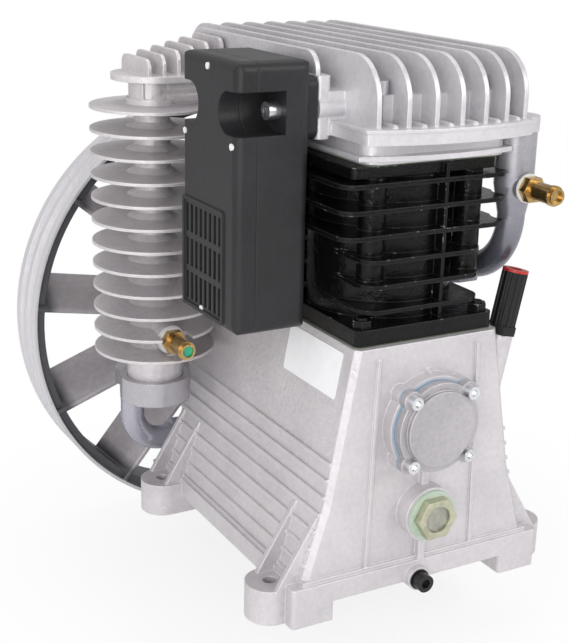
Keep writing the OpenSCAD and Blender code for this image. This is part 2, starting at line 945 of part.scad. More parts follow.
// Aluminium valve plate with a thin cooling edge
module valve_plate() {
  color("gainsboro") difference() {
    union() {
      round_block(-core_left, core_right, -core_front, core_back, plate_z, plate_top, plate_r);
      translate([0, 0, plate_z + plate_fin_z]) linear_extrude(plate_fin_t) intersection() {
        round_rect(-plate_left, plate_right, -plate_front, plate_back, plate_r);
        translate([head_mid_x, head_arc_r - plate_front]) circle(head_arc_r, $fn = 128);
      }
    }
    at_head_bolts() bar_z(head_bolt_hole_r, plate_z - cut, plate_top + cut);
    for (side = [-1, 1]) {
      at_ports(side, low_y, low_port_x, low_port_r) bar_z(low_port_r, plate_z - cut, plate_top + cut);
      at_ports(side, high_y, high_port_x, high_port_r) bar_z(high_port_r, plate_z - cut, plate_top + cut);
    }
    bar_z(duct_top_r + cut, plate_z - cut, plate_top + cut, duct_x, duct_y);
  }
}

// Outlet reeds under their stiff stops
module discharge_reeds() {
  color("silver") {
    reed(low_port_x, low_y, low_port_r, plate_top, reed_t + reed_stop_t);
    reed(high_port_x, high_y, high_port_r, plate_top, reed_t + reed_stop_t);
  }
}

// Gasket under the head
module head_gasket() {
  color("darkolivegreen") translate([0, 0, plate_top]) linear_extrude(gasket_t) difference() {
    round_rect(-core_left, core_right, -core_front, core_back, plate_r);
    chamber_plan(0);
    at_head_bolts() circle(head_bolt_hole_r);
    translate([duct_x, duct_y]) circle(duct_top_r + cut);
  }
}

// Finned aluminium head
module cylinder_head() {
  color("gainsboro") difference() {
    union() {
      translate([0, 0, head_z]) linear_extrude(head_flange_t) head_outline(head_lip_in);
      translate([0, 0, head_flange_top - head_lip_t]) linear_extrude(head_lip_t) head_outline(0);
      translate([0, 0, head_z]) linear_extrude(chamber_h + chamber_wall) intersection() {
        round_rect(-body_left, body_right, -head_nose, body_back, body_r);
        translate([head_mid_x, head_arc_y])
          circle(head_arc_r - body_inset, $fn = 128);
      }
      block(-head_left - cut, -body_left + body_r, -side_wall_front, side_wall_back,
        head_z, body_top);
      round_block(-side_wall_x, -side_wall_x + side_wall_t, -side_wall_front, side_wall_back,
        head_z - box_drop, head_z + side_wall_top, side_wall_t / 3);
      bar_x(box_boss_r, -side_wall_x + cut, -body_left + cut, pocket_y, pocket_z);
      bar_z(duct_seat_r, head_z, head_flange_top, duct_x, duct_y);
      head_fins();
      bar_x(outlet_boss_r, chamber_right, outlet_x, outlet_y, outlet_z);
    }
    head_holes();
  }
}

// Tall fins with a low rib in each gap
module head_fins() {
  for (k = [-head_fins_left : head_fins_right]) {
    x = head_mid_x + k * head_fin_pitch;
    along_x(x - head_fin_t / 2, x + head_fin_t / 2)
      fin_profile(fin_front(x), head_back, head_flange_top - cut, head_top, fin_corner_r);
    if (k < head_fins_right) nub(x + head_fin_pitch / 2);
  }
  x = head_mid_x - (head_fins_left + 1) * head_fin_pitch;
  along_x(x - head_fin_t / 2, x + head_fin_t / 2)
    fin_profile(-side_wall_front + rim_recess, side_wall_back - cut, head_z + side_wall_top - fin_root,
      head_top, (head_h - side_wall_top) * fin_left_share);
}

// Low rib with a round end
module nub(x) {
  y = fin_front(x) - nub_r / 2;
  bar_y(nub_r, y, y + nub_len, x, head_flange_top);
  translate([x, y, head_flange_top]) sphere(nub_r);
}

// Every hole of the head
module head_holes() {
  translate([0, 0, head_z - cut]) linear_extrude(chamber_h + cut) chamber_plan(0);
  difference() {
    round_block(chamber_split + chamber_r / 2, chamber_right, chamber_back - 2 * chamber_r, chamber_out,
      head_z + chamber_wall, head_z + chamber_h, chamber_r);
    at_head_bolts() bar_z(bolt_boss_r, head_z, head_top);
  }
  at_head_bolts() bar_z(head_bolt_hole_r, head_z - cut, head_top);
  at_head_bolts() bar_z(head_bolt_head_d / 2 + seat_fit, body_top, head_top + cut);
  bar_x(outlet_r, chamber_right - chamber_r, outlet_x + cut,
    outlet_y, outlet_z);
  bar_x(intake_r, -side_wall_x - cut, -chamber_left + cut, intake_y, pocket_z);
  bar_x(col_bore_r, -side_wall_x - cut, -chamber_left + cut, col_y, arm_z);
  for (y = box_screw_ys)
    bar_x(box_screw_d / 2, -side_wall_x - cut, wall_screw_end + cut, y, pocket_z);
  for (y = arm_bolt_ys)
    bar_x(arm_bolt_d / 2, -side_wall_x - cut, wall_screw_end + cut, y, arm_z);
  bar_z(duct_spigot_r + run_fit, head_z - cut, head_z + duct_spigot_h + cut / 2, duct_x, duct_y);
  bar_z(duct_spigot_r + duct_seal_w, head_z - cut, head_z + duct_seal_w, duct_x, duct_y);
  translate([0, 0, head_z + duct_spigot_h - chamber_wall / 2]) linear_extrude(chamber_wall)
    capsule([duct_x, duct_y], [chamber_right - chamber_r, -chamber_front + chamber_r], chamber_wall);
}

// Bar with round ends
module capsule(p, q, r) {
  translate(p) circle(r);
  translate(q) circle(r);
  translate(p) rotate(atan2(q.y - p.y, q.x - p.x)) translate([0, -r]) square([norm(q - p), 2 * r]);
}

// Six long head bolts with socket heads
module head_bolts() {
  seat = body_top;
  color("silver") difference() {
    at_head_bolts() {
      bar_z(head_bolt_d / 2 - run_fit, block_top - bolt_bite, seat + cut);
      bar_z(head_bolt_head_d / 2, seat, seat + head_bolt_head_h);
    }
    at_head_bolts() translate([0, 0, seat + head_bolt_head_h / 2])
      cylinder(r = head_bolt_head_d / 4, h = head_bolt_head_h, $fn = 6);
  }
}

// Intercooler: flange, arm and finned column
module intercooler() {
  color("gainsboro") difference() {
    union() {
      along_x(pad_x - arm_flange_t, pad_x) round_rect(
        col_y - arm_flange_w / 2, col_y + arm_flange_w / 2,
        head_z + arm_flange_low, head_z + arm_flange_high, arm_fin_r);
      soft_block(col_x, pad_x - cut, col_y - arm_duct_w / 2, col_y + arm_duct_w / 2,
        arm_z - arm_duct_h / 2, arm_z + arm_duct_h / 2, arm_fin_r);
      block(col_x, pad_x - cut, col_y - arm_r, col_y + arm_r, arm_plate_z, arm_plate_z + arm_plate_t);
      bar_z(arm_r, arm_plate_z, arm_plate_z + arm_plate_t, col_x, col_y);
      arm_fins_row();
      bar_z(col_neck_r, col_fin_z, arm_plate_z + cut, col_x, col_y);
      for (a = [45 : 90 : 315]) {
        bar_z(neck_rib_r, col_fin_z, arm_plate_z + cut,
          col_x + col_neck_r * cos(a), col_y + col_neck_r * sin(a));
      }
      translate([col_x, col_y, 0]) rotate_extrude() column_profile();
      bar_y(valve_boss_r, valve_boss_y, col_y, col_x, valve_z);
    }
    bar_x(col_bore_r, col_x, pad_x + cut, col_y, arm_z);
    bar_z(col_bore_r, cup_z, arm_z + cut, col_x, col_y);
    bar_y(valve_clear_r, valve_boss_y - 2 * arm_r, valve_boss_y, col_x, valve_z);
    bar_y(valve_thread_r, valve_boss_y - cut, col_y, col_x, valve_z);
    for (y = arm_bolt_ys) {
      bar_x(arm_bolt_d / 2 + seat_fit, pad_x - arm_flange_t - cut, pad_x + cut, y, arm_z);
      bar_x(arm_bolt_head_d / 2 + cut, col_x, pad_x - arm_flange_t, y, arm_z);
    }
  }
}

// Section of the column
module column_profile() {
  low = col_low_z - cup_gap;
  polygon(concat(
    [[0, low + cup_floor - cup_h], [col_tail_r, low + cup_floor - cup_h], [col_tail_r, col_low_z]],
    [for (i = [column_fins - 1 : -1 : 0]) let (z = col_fin_z - i * column_fin_pitch) each [
      [i == column_fins - 1 ? col_tail_r : col_root_r, z],
      [column_fin_r, z + (col_fin_root - col_fin_edge) / 2],
      [column_fin_r, z + (col_fin_root + col_fin_edge) / 2],
      [col_root_r, z + col_fin_root],
      [i == 0 ? col_root_r : col_core_r, z + col_fin_root + col_flare_h],
      [i == 0 ? 0 : col_core_r, i == 0 ? z + col_fin_root + col_flare_h : z + column_fin_pitch - col_flare_h]
    ]]
  ));
}

// Upright fins on the arm, taller toward the head
module arm_fins_row() {
  for (i = [0 : arm_fins - 1]) {
    x = col_x - arm_fin_low + i * arm_fin_pitch;
    top = arm_plate_z + arm_plate_t + arm_fin_low + i * arm_fin_pitch * arm_slope_share;
    along_x(x - arm_fin_t / 2, x + arm_fin_t / 2)
      fin_profile(col_y - arm_fin_len / 2, col_y + arm_fin_len / 2, arm_plate_z + cut, top, arm_fin_r);
  }
}

// Gasket of the intercooler flange
module intercooler_gasket() {
  color("darkolivegreen") difference() {
    along_x(pad_x, -side_wall_x) round_rect(
      col_y - arm_flange_w / 2, col_y + arm_flange_w / 2,
      head_z + arm_flange_low, head_z + arm_flange_high, arm_fin_r);
    bar_x(col_bore_r, pad_x - cut, cut - side_wall_x, col_y, arm_z);
    for (y = arm_bolt_ys)
      bar_x(arm_bolt_d / 2 + seat_fit, pad_x - cut, cut - side_wall_x, y, arm_z);
  }
}

// Socket head screw along X
module socket_screw_x(seat_x, y, z, d, head_d, head_h, end_x) {
  difference() {
    union() {
      bar_x(head_d / 2, seat_x - head_h, seat_x, y, z);
      bar_x(d / 2 - run_fit, seat_x - cut, end_x, y, z);
    }
    translate([seat_x - head_h - cut, y, z]) rotate([0, 90, 0])
      cylinder(r = head_d / 4, h = head_h / 2 + cut, $fn = 6);
  }
}

// Two bolts that hold the intercooler arm
module intercooler_bolts() {
  color("silver") for (y = arm_bolt_ys) {
    socket_screw_x(pad_x - arm_flange_t, y, arm_z, arm_bolt_d, arm_bolt_head_d, arm_bolt_head_h,
      wall_screw_end);
  }
}

// Elbow casting with the cup under the column
module lower_elbow() {
  bend_z = pipe_low + pipe_bend_r;
  color("lightslategray") {
    difference() {
      union() {
        bar_z(cup_r, cup_z, cup_z + cup_h, col_x, col_y);
        translate([0, 0, cup_z]) linear_extrude(cup_link_h)
          capsule([col_x, col_y], [pipe_left_x, pipe_y], cup_link_r);
      }
      bar_z(col_tail_r + seat_fit, cup_z + cup_floor, cup_z + cup_h + cut, col_x, col_y);
      bar_z(pipe_r - pipe_wall, cup_z - cut, cup_z + cup_link_h - pipe_wall, pipe_left_x, pipe_y);
      translate([col_x, col_y, cup_z + cup_floor / 2]) rotate([-90, 0, atan2(pipe_shift, pipe_y - col_y)])
        bar_z(cup_drill_r, 0, norm([pipe_shift, pipe_y - col_y]));
      bar_z(col_bore_r, cup_z + pipe_wall, cup_z + cup_h, col_x, col_y);
    }
    translate([pipe_left_x, pipe_y, bend_z]) rotate(180) linear_extrude(cup_z - bend_z) pipe_section();
    translate([pipe_left_x + pipe_bend_r, pipe_y, bend_z]) rotate([90, 0, 0]) rotate(180)
      pipe_bend(pipe_bend_r, 90);
    translate([pipe_left_x + pipe_bend_r, pipe_y, pipe_low]) rotate([0, 90, 0])
      linear_extrude(elbow_reach - pipe_bend_r) pipe_section();
  }
}

// Section of the pipe
module pipe_section() {
  difference() {
    circle(pipe_r);
    circle(pipe_r - pipe_wall);
  }
}

// Bent length of the pipe
module pipe_bend(bend, turn) {
  rotate_extrude(angle = turn) translate([bend, 0]) pipe_section();
}

// Pipe round the back of the pump
module cross_pipe() {
  turn = pipe_bend_r * tan(pipe_turn / 2);
  color("lightslategray") {
    translate([elbow_end, pipe_y, pipe_low]) rotate([0, 90, 0])
      linear_extrude(duct_x - pipe_bend_r - pipe_left_x - elbow_reach) pipe_section();
    translate([duct_x - pipe_bend_r, pipe_y, pipe_low + pipe_bend_r]) rotate([90, 0, 0])
      rotate(270) pipe_bend(pipe_bend_r, 90);
    translate([duct_x, pipe_y, pipe_low + pipe_bend_r])
      linear_extrude(pipe_turn_z - turn - pipe_low - pipe_bend_r) pipe_section();
    translate([duct_x, pipe_y - pipe_bend_r, pipe_turn_z - turn]) rotate([90, 0, 90])
      pipe_bend(pipe_bend_r, pipe_turn);
    on_slope(turn) linear_extrude(slope_len - duct_reach - turn) pipe_section();
  }
}

// Place on the sloping run, from its lower corner
module on_slope(along) {
  translate([duct_x, pipe_y, pipe_turn_z]) rotate([90 - pipe_slope, 0, 0])
    translate([0, 0, along]) children();
}

// Union nuts over the two pipe joints
module pipe_nuts() {
  color("goldenrod") {
    difference() {
      translate([elbow_end - pipe_nut_h / 2, pipe_y, pipe_low]) rotate([0, 90, 0]) union_nut();
      bar_x(pipe_r, pipe_left_x, duct_x, pipe_y, pipe_low);
    }
    on_slope(slope_len - duct_reach - pipe_nut_h / 2) difference() {
      union_nut();
      bar_z(pipe_r, -cut, pipe_nut_h + cut);
    }
  }
}

// Hexagon nut with its round ferrule end
module union_nut() {
  cylinder(d = pipe_nut_af / cos(30), h = pipe_nut_h - pipe_ferrule_h, $fn = 6);
  cylinder(r = pipe_ferrule_r, h = pipe_nut_h);
}

// Vertical duct, wide at the head and bent into the cross pipe
module side_duct() {
  turn = duct_bend_r * tan(pipe_turn / 2);
  low = duct_turn_z + turn;
  color("gainsboro") {
    difference() {
      union() {
        translate([duct_x, duct_y, 0]) rotate_extrude() polygon([
          [0, low], [pipe_r, low], [duct_top_r, duct_valve_z], [duct_top_r, head_z], [0, head_z]
        ]);
        bar_z(duct_spigot_r, head_z - cut, head_z + duct_spigot_h, duct_x, duct_y);
        bar_y(valve_seal_r - valve_recess / 2, duct_valve_y, duct_y, duct_x, duct_valve_z);
      }
      bar_z(pipe_r - pipe_wall, low - cut, head_z + duct_spigot_h + cut, duct_x, duct_y);
      bar_y(valve_thread_r, duct_valve_y - cut, duct_y, duct_x, duct_valve_z);
    }
    translate([duct_x, duct_y + duct_bend_r, low]) rotate([90, 0, 90]) rotate(180)
      pipe_bend(duct_bend_r, pipe_turn);
    on_slope(slope_len - duct_reach) linear_extrude(duct_reach - turn) pipe_section();
  }
}

// Square ring that seals the duct in the head
module duct_seal() {
  color("black") difference() {
    bar_z(duct_spigot_r + duct_seal_w, head_z, head_z + duct_seal_w, duct_x, duct_y);
    bar_z(duct_spigot_r, head_z - cut, head_z + duct_seal_w + cut, duct_x, duct_y);
  }
}

// Brass safety valve that points to the front
module relief_valve(x, seat_y, z) {
  y = seat_y - valve_seal_t;
  end_y = y - valve_hex_h - valve_body_h;
  tip_y = end_y - valve_tip_h;
  color("goldenrod") difference() {
    union() {
      bar_y(valve_thread_r - run_fit, y - cut, seat_y + valve_thread_len, x, z);
      hex_y(valve_hex_af, y - valve_hex_h, y, x, z);
      bar_y(valve_body_r, end_y, y - valve_hex_h + cut, x, z);
      bar_y(valve_tip_r, tip_y, y - valve_hex_h, x, z);
      bar_y(valve_body_r + valve_recess / 4, end_y, end_y + valve_tip_h, x, z);
    }
    bar_y(valve_recess_r, tip_y - cut, tip_y + valve_recess, x, z);
  }
}

// Round sealing washer under a safety valve
module valve_seal(x, seat_y, z) {
  color("whitesmoke") difference() {
    bar_y(valve_seal_r, seat_y - valve_seal_t, seat_y, x, z);
    bar_y(valve_thread_r, seat_y - valve_seal_t - cut, seat_y + cut, x, z);
  }
}

// Safety valve low on the column
module interstage_valve() {
  relief_valve(col_x, valve_boss_y, valve_z);
}

// Washer of the column's valve
module interstage_valve_seal() {
  valve_seal(col_x, valve_boss_y, valve_z);
}

// Safety valve on the side duct
module discharge_valve() {
  relief_valve(duct_x, duct_valve_y, duct_valve_z);
}

// Washer of the duct's valve
module discharge_valve_seal() {
  valve_seal(duct_x, duct_valve_y, duct_valve_z);
}

// Plan of the two screw pockets, grown by a wall
module pocket_plan(grow) {
  for (m = [0, 1]) translate([intake_y, 0]) mirror([m, 0]) translate([-intake_y, 0]) {
    translate([pocket_y, pocket_z]) circle(pocket_r + grow);
    translate([box_y0 - cut, pocket_z - pocket_r - grow])
      square([pocket_y - box_y0 + cut, 2 * (pocket_r + grow)]);
  }
}

// Space of the whole filter box, set in by a wall
module box_space(inset) {
  soft_block(box_x0 + inset, box_x1 - inset, box_y0 + inset, box_y1 - inset,
    box_z0 + inset, box_z1 - inset, box_r - inset / 2);
}

// Half of the filter box between two planes across X
module box_half(x0, x1) {
  intersection() {
    block(x0, x1, box_y0 - cut, box_y1 + cut, box_z0 - cut, box_z1 + cut);
    union() {
      difference() {
        box_space(0);
        box_space(box_wall);
      }
      intersection() {
        box_space(0);
        along_x(box_x0, box_x1) pocket_plan(box_wall);
      }
    }
  }
}

// Filter housing half next to the head
module filter_base() {
  color("dimgray") difference() {
    union() {
      box_half(base_x, box_x1);
      along_x(box_x1 - box_wall, pad_x)
        round_rect(box_flange_y0, box_flange_y1, box_flange_z0, box_flange_z1, box_r);
    }
    along_x(box_x0, box_x1 - pocket_in) pocket_plan(0);
    bar_x(intake_r, box_x1 - box_wall - cut, pad_x + cut, intake_y, pocket_z);
    for (y = box_screw_ys)
      bar_x(box_screw_d / 2 + seat_fit, box_x1 - pocket_in - cut, pad_x + cut, y, pocket_z);
  }
}

// Filter lid with its air slots
module filter_cover() {
  y0 = grille_y - grille_cols * slot_pitch_y / 2;
  z0 = grille_z - grille_rows * slot_pitch_z / 2;
  y1 = grille_y + grille_cols * slot_pitch_y / 2;
  z1 = grille_z + grille_rows * slot_pitch_z / 2;
  color("dimgray") difference() {
    union() {
      box_half(box_x0, seam_x);
      along_x(box_x0 - grille_proud, box_x0 + box_wall) difference() {
        round_rect(y0 - grille_frame, y1 + grille_frame, z0 - grille_frame, z1 + grille_frame, grille_frame);
        round_rect(y0, y1, z0, z1, grille_proud);
      }
    }
    along_x(box_x0 - cut, seam_x + cut) pocket_plan(0);
    for (c = [0 : grille_cols - 1]) for (r = [0 : grille_rows - 1]) {
      along_x(box_x0 - cut, box_x0 + box_wall + cut)
        translate([y0 + (c + 1 / 2) * slot_pitch_y - slot_w / 2,
          z0 + (r + 1 / 2) * slot_pitch_z - slot_h / 2]) square([slot_w, slot_h]);
    }
    for (p = clip_places) bar_x(clip_r, box_x0 - cut, box_x0 + box_wall, p[0], p[1]);
  }
}

// Pleated paper element in its rim
module filter_element() {
  y0 = intake_y - element_pleats * element_pitch / 2;
  color("khaki") {
    difference() {
      block(base_x, base_x + element_x, box_y0 + box_wall, box_y1 - box_wall, element_z0 - element_rim,
        element_z1 + element_rim);
      block(base_x - cut, base_x + element_x + cut, y0, 2 * intake_y - y0, element_z0, element_z1);
    }
    for (k = [0 : element_pleats - 1]) translate([0, y0 + k * element_pitch, 0])
      translate([0, 0, element_z0 - cut]) linear_extrude(element_z1 - element_z0 + 2 * cut) polygon([
        [base_x + pleat_t, 0], [base_x + pleat_t * 2, 0], [base_x + element_x - pleat_t, element_pitch / 2],
        [base_x + pleat_t * 2, element_pitch], [base_x + pleat_t, element_pitch],
        [base_x + element_x - pleat_t * 2, element_pitch / 2]
      ]);
  }
}

// Gasket in the seam of the filter box
module filter_gasket() {
  color("black") difference() {
    box_half(seam_x, base_x);
    along_x(box_x0, box_x1) pocket_plan(0);
  }
}

// Two screws that clamp the filter to the head
module filter_screws() {
  color("silver") for (y = box_screw_ys) {
    socket_screw_x(box_x1 - pocket_in, y, pocket_z, box_screw_d, box_screw_head_d, box_screw_head_h,
      wall_screw_end);
  }
}

// White clips that hold the lid
module filter_clips() {
  color("white") for (p = clip_places) bar_x(clip_r, box_x0 - clip_proud, box_x0 + box_wall, p[0], p[1]);
}

// Plan of the bearing cover with its four ears
module cover_plan(r, ear) {
  circle(r);
  for (x = [-cover_sq, cover_sq]) for (z = [-cover_sq, cover_sq]) translate([x, z]) circle(ear);
}

// Aluminium cap over the front bearing
module bearing_cover() {
  y = -front_face - gasket_t;
  color("gainsboro") difference() {
    union() {
      along_y(y - cover_plate_t, y) translate([0, crank_z]) cover_plan(cover_r, ear_r);
      bar_y(cover_r * cover_disc_share, y - cover_plate_t - cover_disc_t, y, 0, crank_z);
      bar_y(race_front_r - run_fit, y - cut, race_y, 0, crank_z);
    }
    bar_y(shoulder_r, y, race_y + cut, 0, crank_z);
    at_ears() {
      bar_y(cover_screw_d / 2 + seat_fit, y - cover_plate_t - cut, y + cut);
      bar_y(cover_screw_head_d / 2 + seat_fit, y - 2 * cover_plate_t, y - cover_plate_t);
    }
  }
}

// Gasket under the bearing cover
module cover_gasket() {
  color("lightskyblue") along_y(-front_face - gasket_t, -front_face) translate([0, crank_z]) difference() {
    cover_plan(cover_r + seat_fit, ear_r);
    circle(race_front_r);
    for (x = [-cover_sq, cover_sq]) for (z = [-cover_sq, cover_sq])
      translate([x, z]) circle(cover_screw_d / 2 + seat_fit);
  }
}

// Four socket screws of the bearing cover
module cover_screws() {
  seat = -front_face - gasket_t - cover_plate_t;
  color("silver") at_ears()
    socket_screw_y(0, seat, 0, cover_screw_d, cover_screw_head_d, cover_screw_head_h, cover_screw_len);
}

// Hexagon sight glass frame with its thread
module sight_glass() {
  color("silver") difference() {
    union() {
      hex_y(sight_hex_af, sight_seat - sight_hex_h, sight_seat, 0, sight_z);
      bar_y(sight_thread_r - run_fit, sight_seat - cut, -case_y, 0, sight_z);
    }
    bar_y(sight_bore_r, sight_seat - sight_hex_h - cut, -case_y + cut, 0, sight_z);
  }
}

// Clear window inside the sight glass frame
module sight_lens() {
  y = sight_seat - sight_hex_h + sight_lens_in;
  color("lightcyan") bar_y(sight_bore_r, y, y + sight_lens_t, 0, sight_z);
}

// Pale washer under the sight glass
module sight_washer() {
  y = sight_seat;
  color("honeydew") difference() {
    bar_y(sight_washer_r, y, y + sight_washer_t, 0, sight_z);
    bar_y(sight_thread_r, y - cut, y + sight_washer_t + cut, 0, sight_z);
  }
}

// Black socket plug that drains the oil
module drain_plug() {
  color("black") socket_screw_y(drain_x, drain_face - drain_washer_t, drain_z,
    2 * drain_thread_r, 2 * drain_head_r, drain_head_h, drain_len);
}

// Copper washer under the drain plug
module drain_washer() {
  y = drain_face;
  color("sienna") difference() {
    bar_y(drain_head_r + drain_washer_t, y - drain_washer_t, y, drain_x, drain_z);
    bar_y(drain_thread_r, y - drain_washer_t - cut, y + cut, drain_x, drain_z);
  }
}

// Oil filler plug with its stick
module filler_plug() {
  color("black") at_filler() {
    bar_z(filler_hole_r - run_fit, -filler_stick_len, cut);
    cylinder(d = filler_foot_af / cos(30), h = filler_foot_h, $fn = 6);
    translate([0, 0, filler_foot_h / 2]) linear_extrude(filler_top - filler_foot_h / 2) {
      circle(filler_core_r);
      for (a = [15 : 30 : 345]) rotate(a) translate([filler_core_r, 0]) circle(filler_ring_h / 2);
    }
  }
}

// Red ring set on top of the filler plug
module filler_ring() {
  color("firebrick") at_filler() difference() {
    bar_z(filler_body_r, filler_top, filler_top + filler_ring_h);
    bar_z(filler_body_r / 2, filler_top - cut, filler_top + filler_ring_h + cut);
  }
}

// Rear bearing housing with its flange and seal neck
module rear_housing() {
  flange = case_y + rear_flange_t;
  color("gainsboro") difference() {
    union() {
      bar_y(rear_bore_r, inner_y, flange, 0, crank_z);
      bar_y(rear_flange_r, case_y, flange, 0, crank_z);
      bar_y(rear_neck_r, flange - cut, flange + rear_neck_len, 0, crank_z);
    }
    bar_y(race_rear_r, inner_y - cut, race_rear_y + race_rear_w, 0, crank_z);
    bar_y(rear_lip_r, race_rear_y, flange + rear_neck_len, 0, crank_z);
    bar_y(seal_r, flange + rear_neck_len - seal_w, flange + rear_neck_len + cut, 0, crank_z);
    at_rear_screws() bar_z(rear_screw_d / 2 + seat_fit, -cut, 2 * rear_flange_t);
  }
}

// Places of the rear housing screws, with Z pointing backward
module at_rear_screws() {
  translate([0, case_y, crank_z]) rotate([-90, 0, 0])
    for (k = [1 : rear_screws_n]) rotate(k * 360 / rear_screws_n) translate([rear_screw_r, 0, 0]) children();
}

// Six screws of the rear housing
module housing_screws() {
  color("silver") at_rear_screws() difference() {
    union() {
      bar_z(rear_screw_d / 2 - run_fit, -end_wall, rear_flange_t + cut);
      bar_z(rear_screw_head_d / 2, rear_flange_t, rear_flange_t + rear_screw_head_h);
    }
    translate([0, 0, rear_flange_t + rear_screw_head_h / 2])
      cylinder(r = rear_screw_head_d / 4, h = rear_screw_head_h, $fn = 6);
  }
}

// Rubber lip seal round the shaft
module oil_seal() {
  y = case_y + rear_flange_t + rear_neck_len;
  color("black") difference() {
    bar_y(seal_r, y - seal_w, y, 0, crank_z);
    bar_y(shaft_rear_r + run_fit, y - seal_w - cut, y + cut, 0, crank_z);
  }
}

// Bearing ring with its ball groove
module race(r_out, r_in, y0, w, pitch_r, groove_r) {
  translate([0, y0, crank_z]) rotate([-90, 0, 0]) rotate_extrude() difference() {
    translate([r_in, 0]) square([r_out - r_in, w]);
    translate([pitch_r, w / 2]) circle(groove_r);
  }
}

// Outer rings of both ball bearings
module outer_races() {
  color("silver") {
    race(race_front_r, front_pitch_r + front_land, race_y, race_front_w,
      front_pitch_r, front_ball_r + gap);
    race(race_rear_r, rear_pitch_r + rear_land, race_rear_y, race_rear_w, rear_pitch_r, rear_ball_r + gap);
  }
}

// Inner rings of both ball bearings
module inner_races() {
  color("silver") {
    race(front_pitch_r - front_land, crank_nose_r, race_y, race_front_w,
      front_pitch_r, front_ball_r + run_fit);
    race(rear_pitch_r - rear_land, shaft_rear_r, race_rear_y, race_rear_w,
      rear_pitch_r, rear_ball_r + run_fit);
  }
}

// Balls of both bearings, held in cage rings
module bearing_balls() {
  color("silver") {
    ball_row(front_pitch_r, front_ball_r, front_land, race_y + race_front_w / 2);
    ball_row(rear_pitch_r, rear_ball_r, rear_land, race_rear_y + race_rear_w / 2);
  }
}

// One row of balls in its cage
module ball_row(pitch, r, land, y) {
  translate([0, y, crank_z]) rotate([-90, 0, 0]) {
    for (k = [0 : balls_n - 1]) rotate(k * 360 / balls_n) translate([pitch, 0, 0]) sphere(r);
    difference() {
      bar_z(pitch - land + cage_t, -r - cage_t, r + cage_t);
      bar_z(pitch - land, -2 * r, 2 * r);
    }
  }
}

// Crank web round the axis and the pin, with its counterweight
module crank_web(y0, pin_side) {
  translate([0, 0, crank_z]) mirror([0, 0, pin_side > 0 ? 0 : 1]) along_y(y0, y0 + crank_web_t) {
    intersection() {
      circle(counter_r);
      translate([-counter_r, -counter_r]) square([2 * counter_r, counter_r - counter_drop]);
    }
    translate([0, crank_r]) circle(pin_web_r);
    circle(web_hub_r);
    translate([-pin_web_r, 0]) square([2 * pin_web_r, crank_r]);
  }
}

// Front piece of the crankshaft with the first web
module crank_front() {
  web = low_y - pin_len / 2 - gap - crank_web_t;
  color("darkgray") {
    bar_y(crank_nose_r, race_y, race_y + race_front_w + cut, 0, crank_z);
    bar_y(crank_step_r, race_y + race_front_w, web + cut, 0, crank_z);
    crank_web(web, 1);
  }
}

// Middle piece of the crankshaft with the two inner webs
module crank_middle() {
  first = low_y + pin_len / 2 + gap;
  last = high_y - pin_len / 2 - gap - crank_web_t;
  color("darkgray") {
    crank_web(first, 1);
    bar_y(crank_mid_r, first, last + cut, 0, crank_z);
    crank_web(last, -1);
  }
}

// Rear piece of the crankshaft with the keyed nose
module crank_rear() {
  web = high_y + pin_len / 2 + gap;
  seal_end = case_y + rear_flange_t + rear_neck_len;
  color("darkgray") difference() {
    union() {
      crank_web(web, -1);
      bar_y(web_hub_r, web, race_rear_y, 0, crank_z);
      bar_y(shaft_rear_r, race_rear_y - cut, seal_end + key_h, 0, crank_z);
      bar_y(shaft_nose_r, seal_end, shaft_end, 0, crank_z);
    }
    block(-key_w / 2, key_w / 2, hub_y, shaft_end + cut,
      crank_z + shaft_nose_r - key_h / 2, crank_z + shaft_nose_r + key_h);
    bar_y(wheel_bolt_d / 2, shaft_end - wheel_bolt_len, shaft_end + cut, 0, crank_z);
  }
}

// Cast flywheel with belt grooves, fan blades and a keyway
module flywheel() {
  color("silver") difference() {
    union() {
      translate([0, wheel_y, crank_z]) rotate([-90, 0, 0]) rotate_extrude($fn = 128) rim_profile();
      bar_y(hub_r, hub_y, wheel_seat, 0, crank_z);
      for (k = [0 : blades - 1]) translate([0, 0, crank_z])
        rotate([0, -blade_phase - k * 360 / blades, 0]) blade();
    }
    bar_y(hub_bore_r, hub_y - cut, wheel_back, 0, crank_z);
    block(-key_w / 2, key_w / 2, hub_y - cut, wheel_back,
      crank_z, crank_z + shaft_nose_r + key_h / 2);
  }
}

// Section of the rim
module rim_profile() {
  difference() {
    translate([rim_in_r, 0]) square([rim_t, rim_w]);
    translate([rim_in_r - cut, -cut]) square([rim_t - rim_lip + cut, rim_recess + cut]);
    for (k = [0 : belt_grooves - 1])
      translate([wheel_r, rim_w / 2 + (k - (belt_grooves - 1) / 2) * groove_pitch])
      polygon([[-groove_depth, -groove_low / 2], [cut, -groove_top / 2], [cut, groove_top / 2],
        [-groove_depth, groove_low / 2]]);
  }
}

// One fan blade from hub to rim, with a bead along its front edge
module blade() {
  chord = rim_w * blade_depth_share / cos(blade_pitch_deg);
  reach = rim_in_r + rim_t / 4;
  translate([0, wheel_y + rim_w / 2, 0]) rotate([-blade_pitch_deg, 0, 0]) {
    block(hub_r - rim_lip, reach, -chord / 2, chord / 2, -blade_t / 2, blade_t / 2);
    bar_x(bead_r, hub_r - rim_lip, wheel_r - rim_lip, -chord / 2, 0);
  }
}

// Parallel key between shaft and flywheel
module shaft_key() {
  color("darkgray") block(-key_w / 2, key_w / 2, hub_y, shaft_end,
    crank_z + shaft_nose_r - key_h / 2, crank_z + shaft_nose_r + key_h / 2);
}

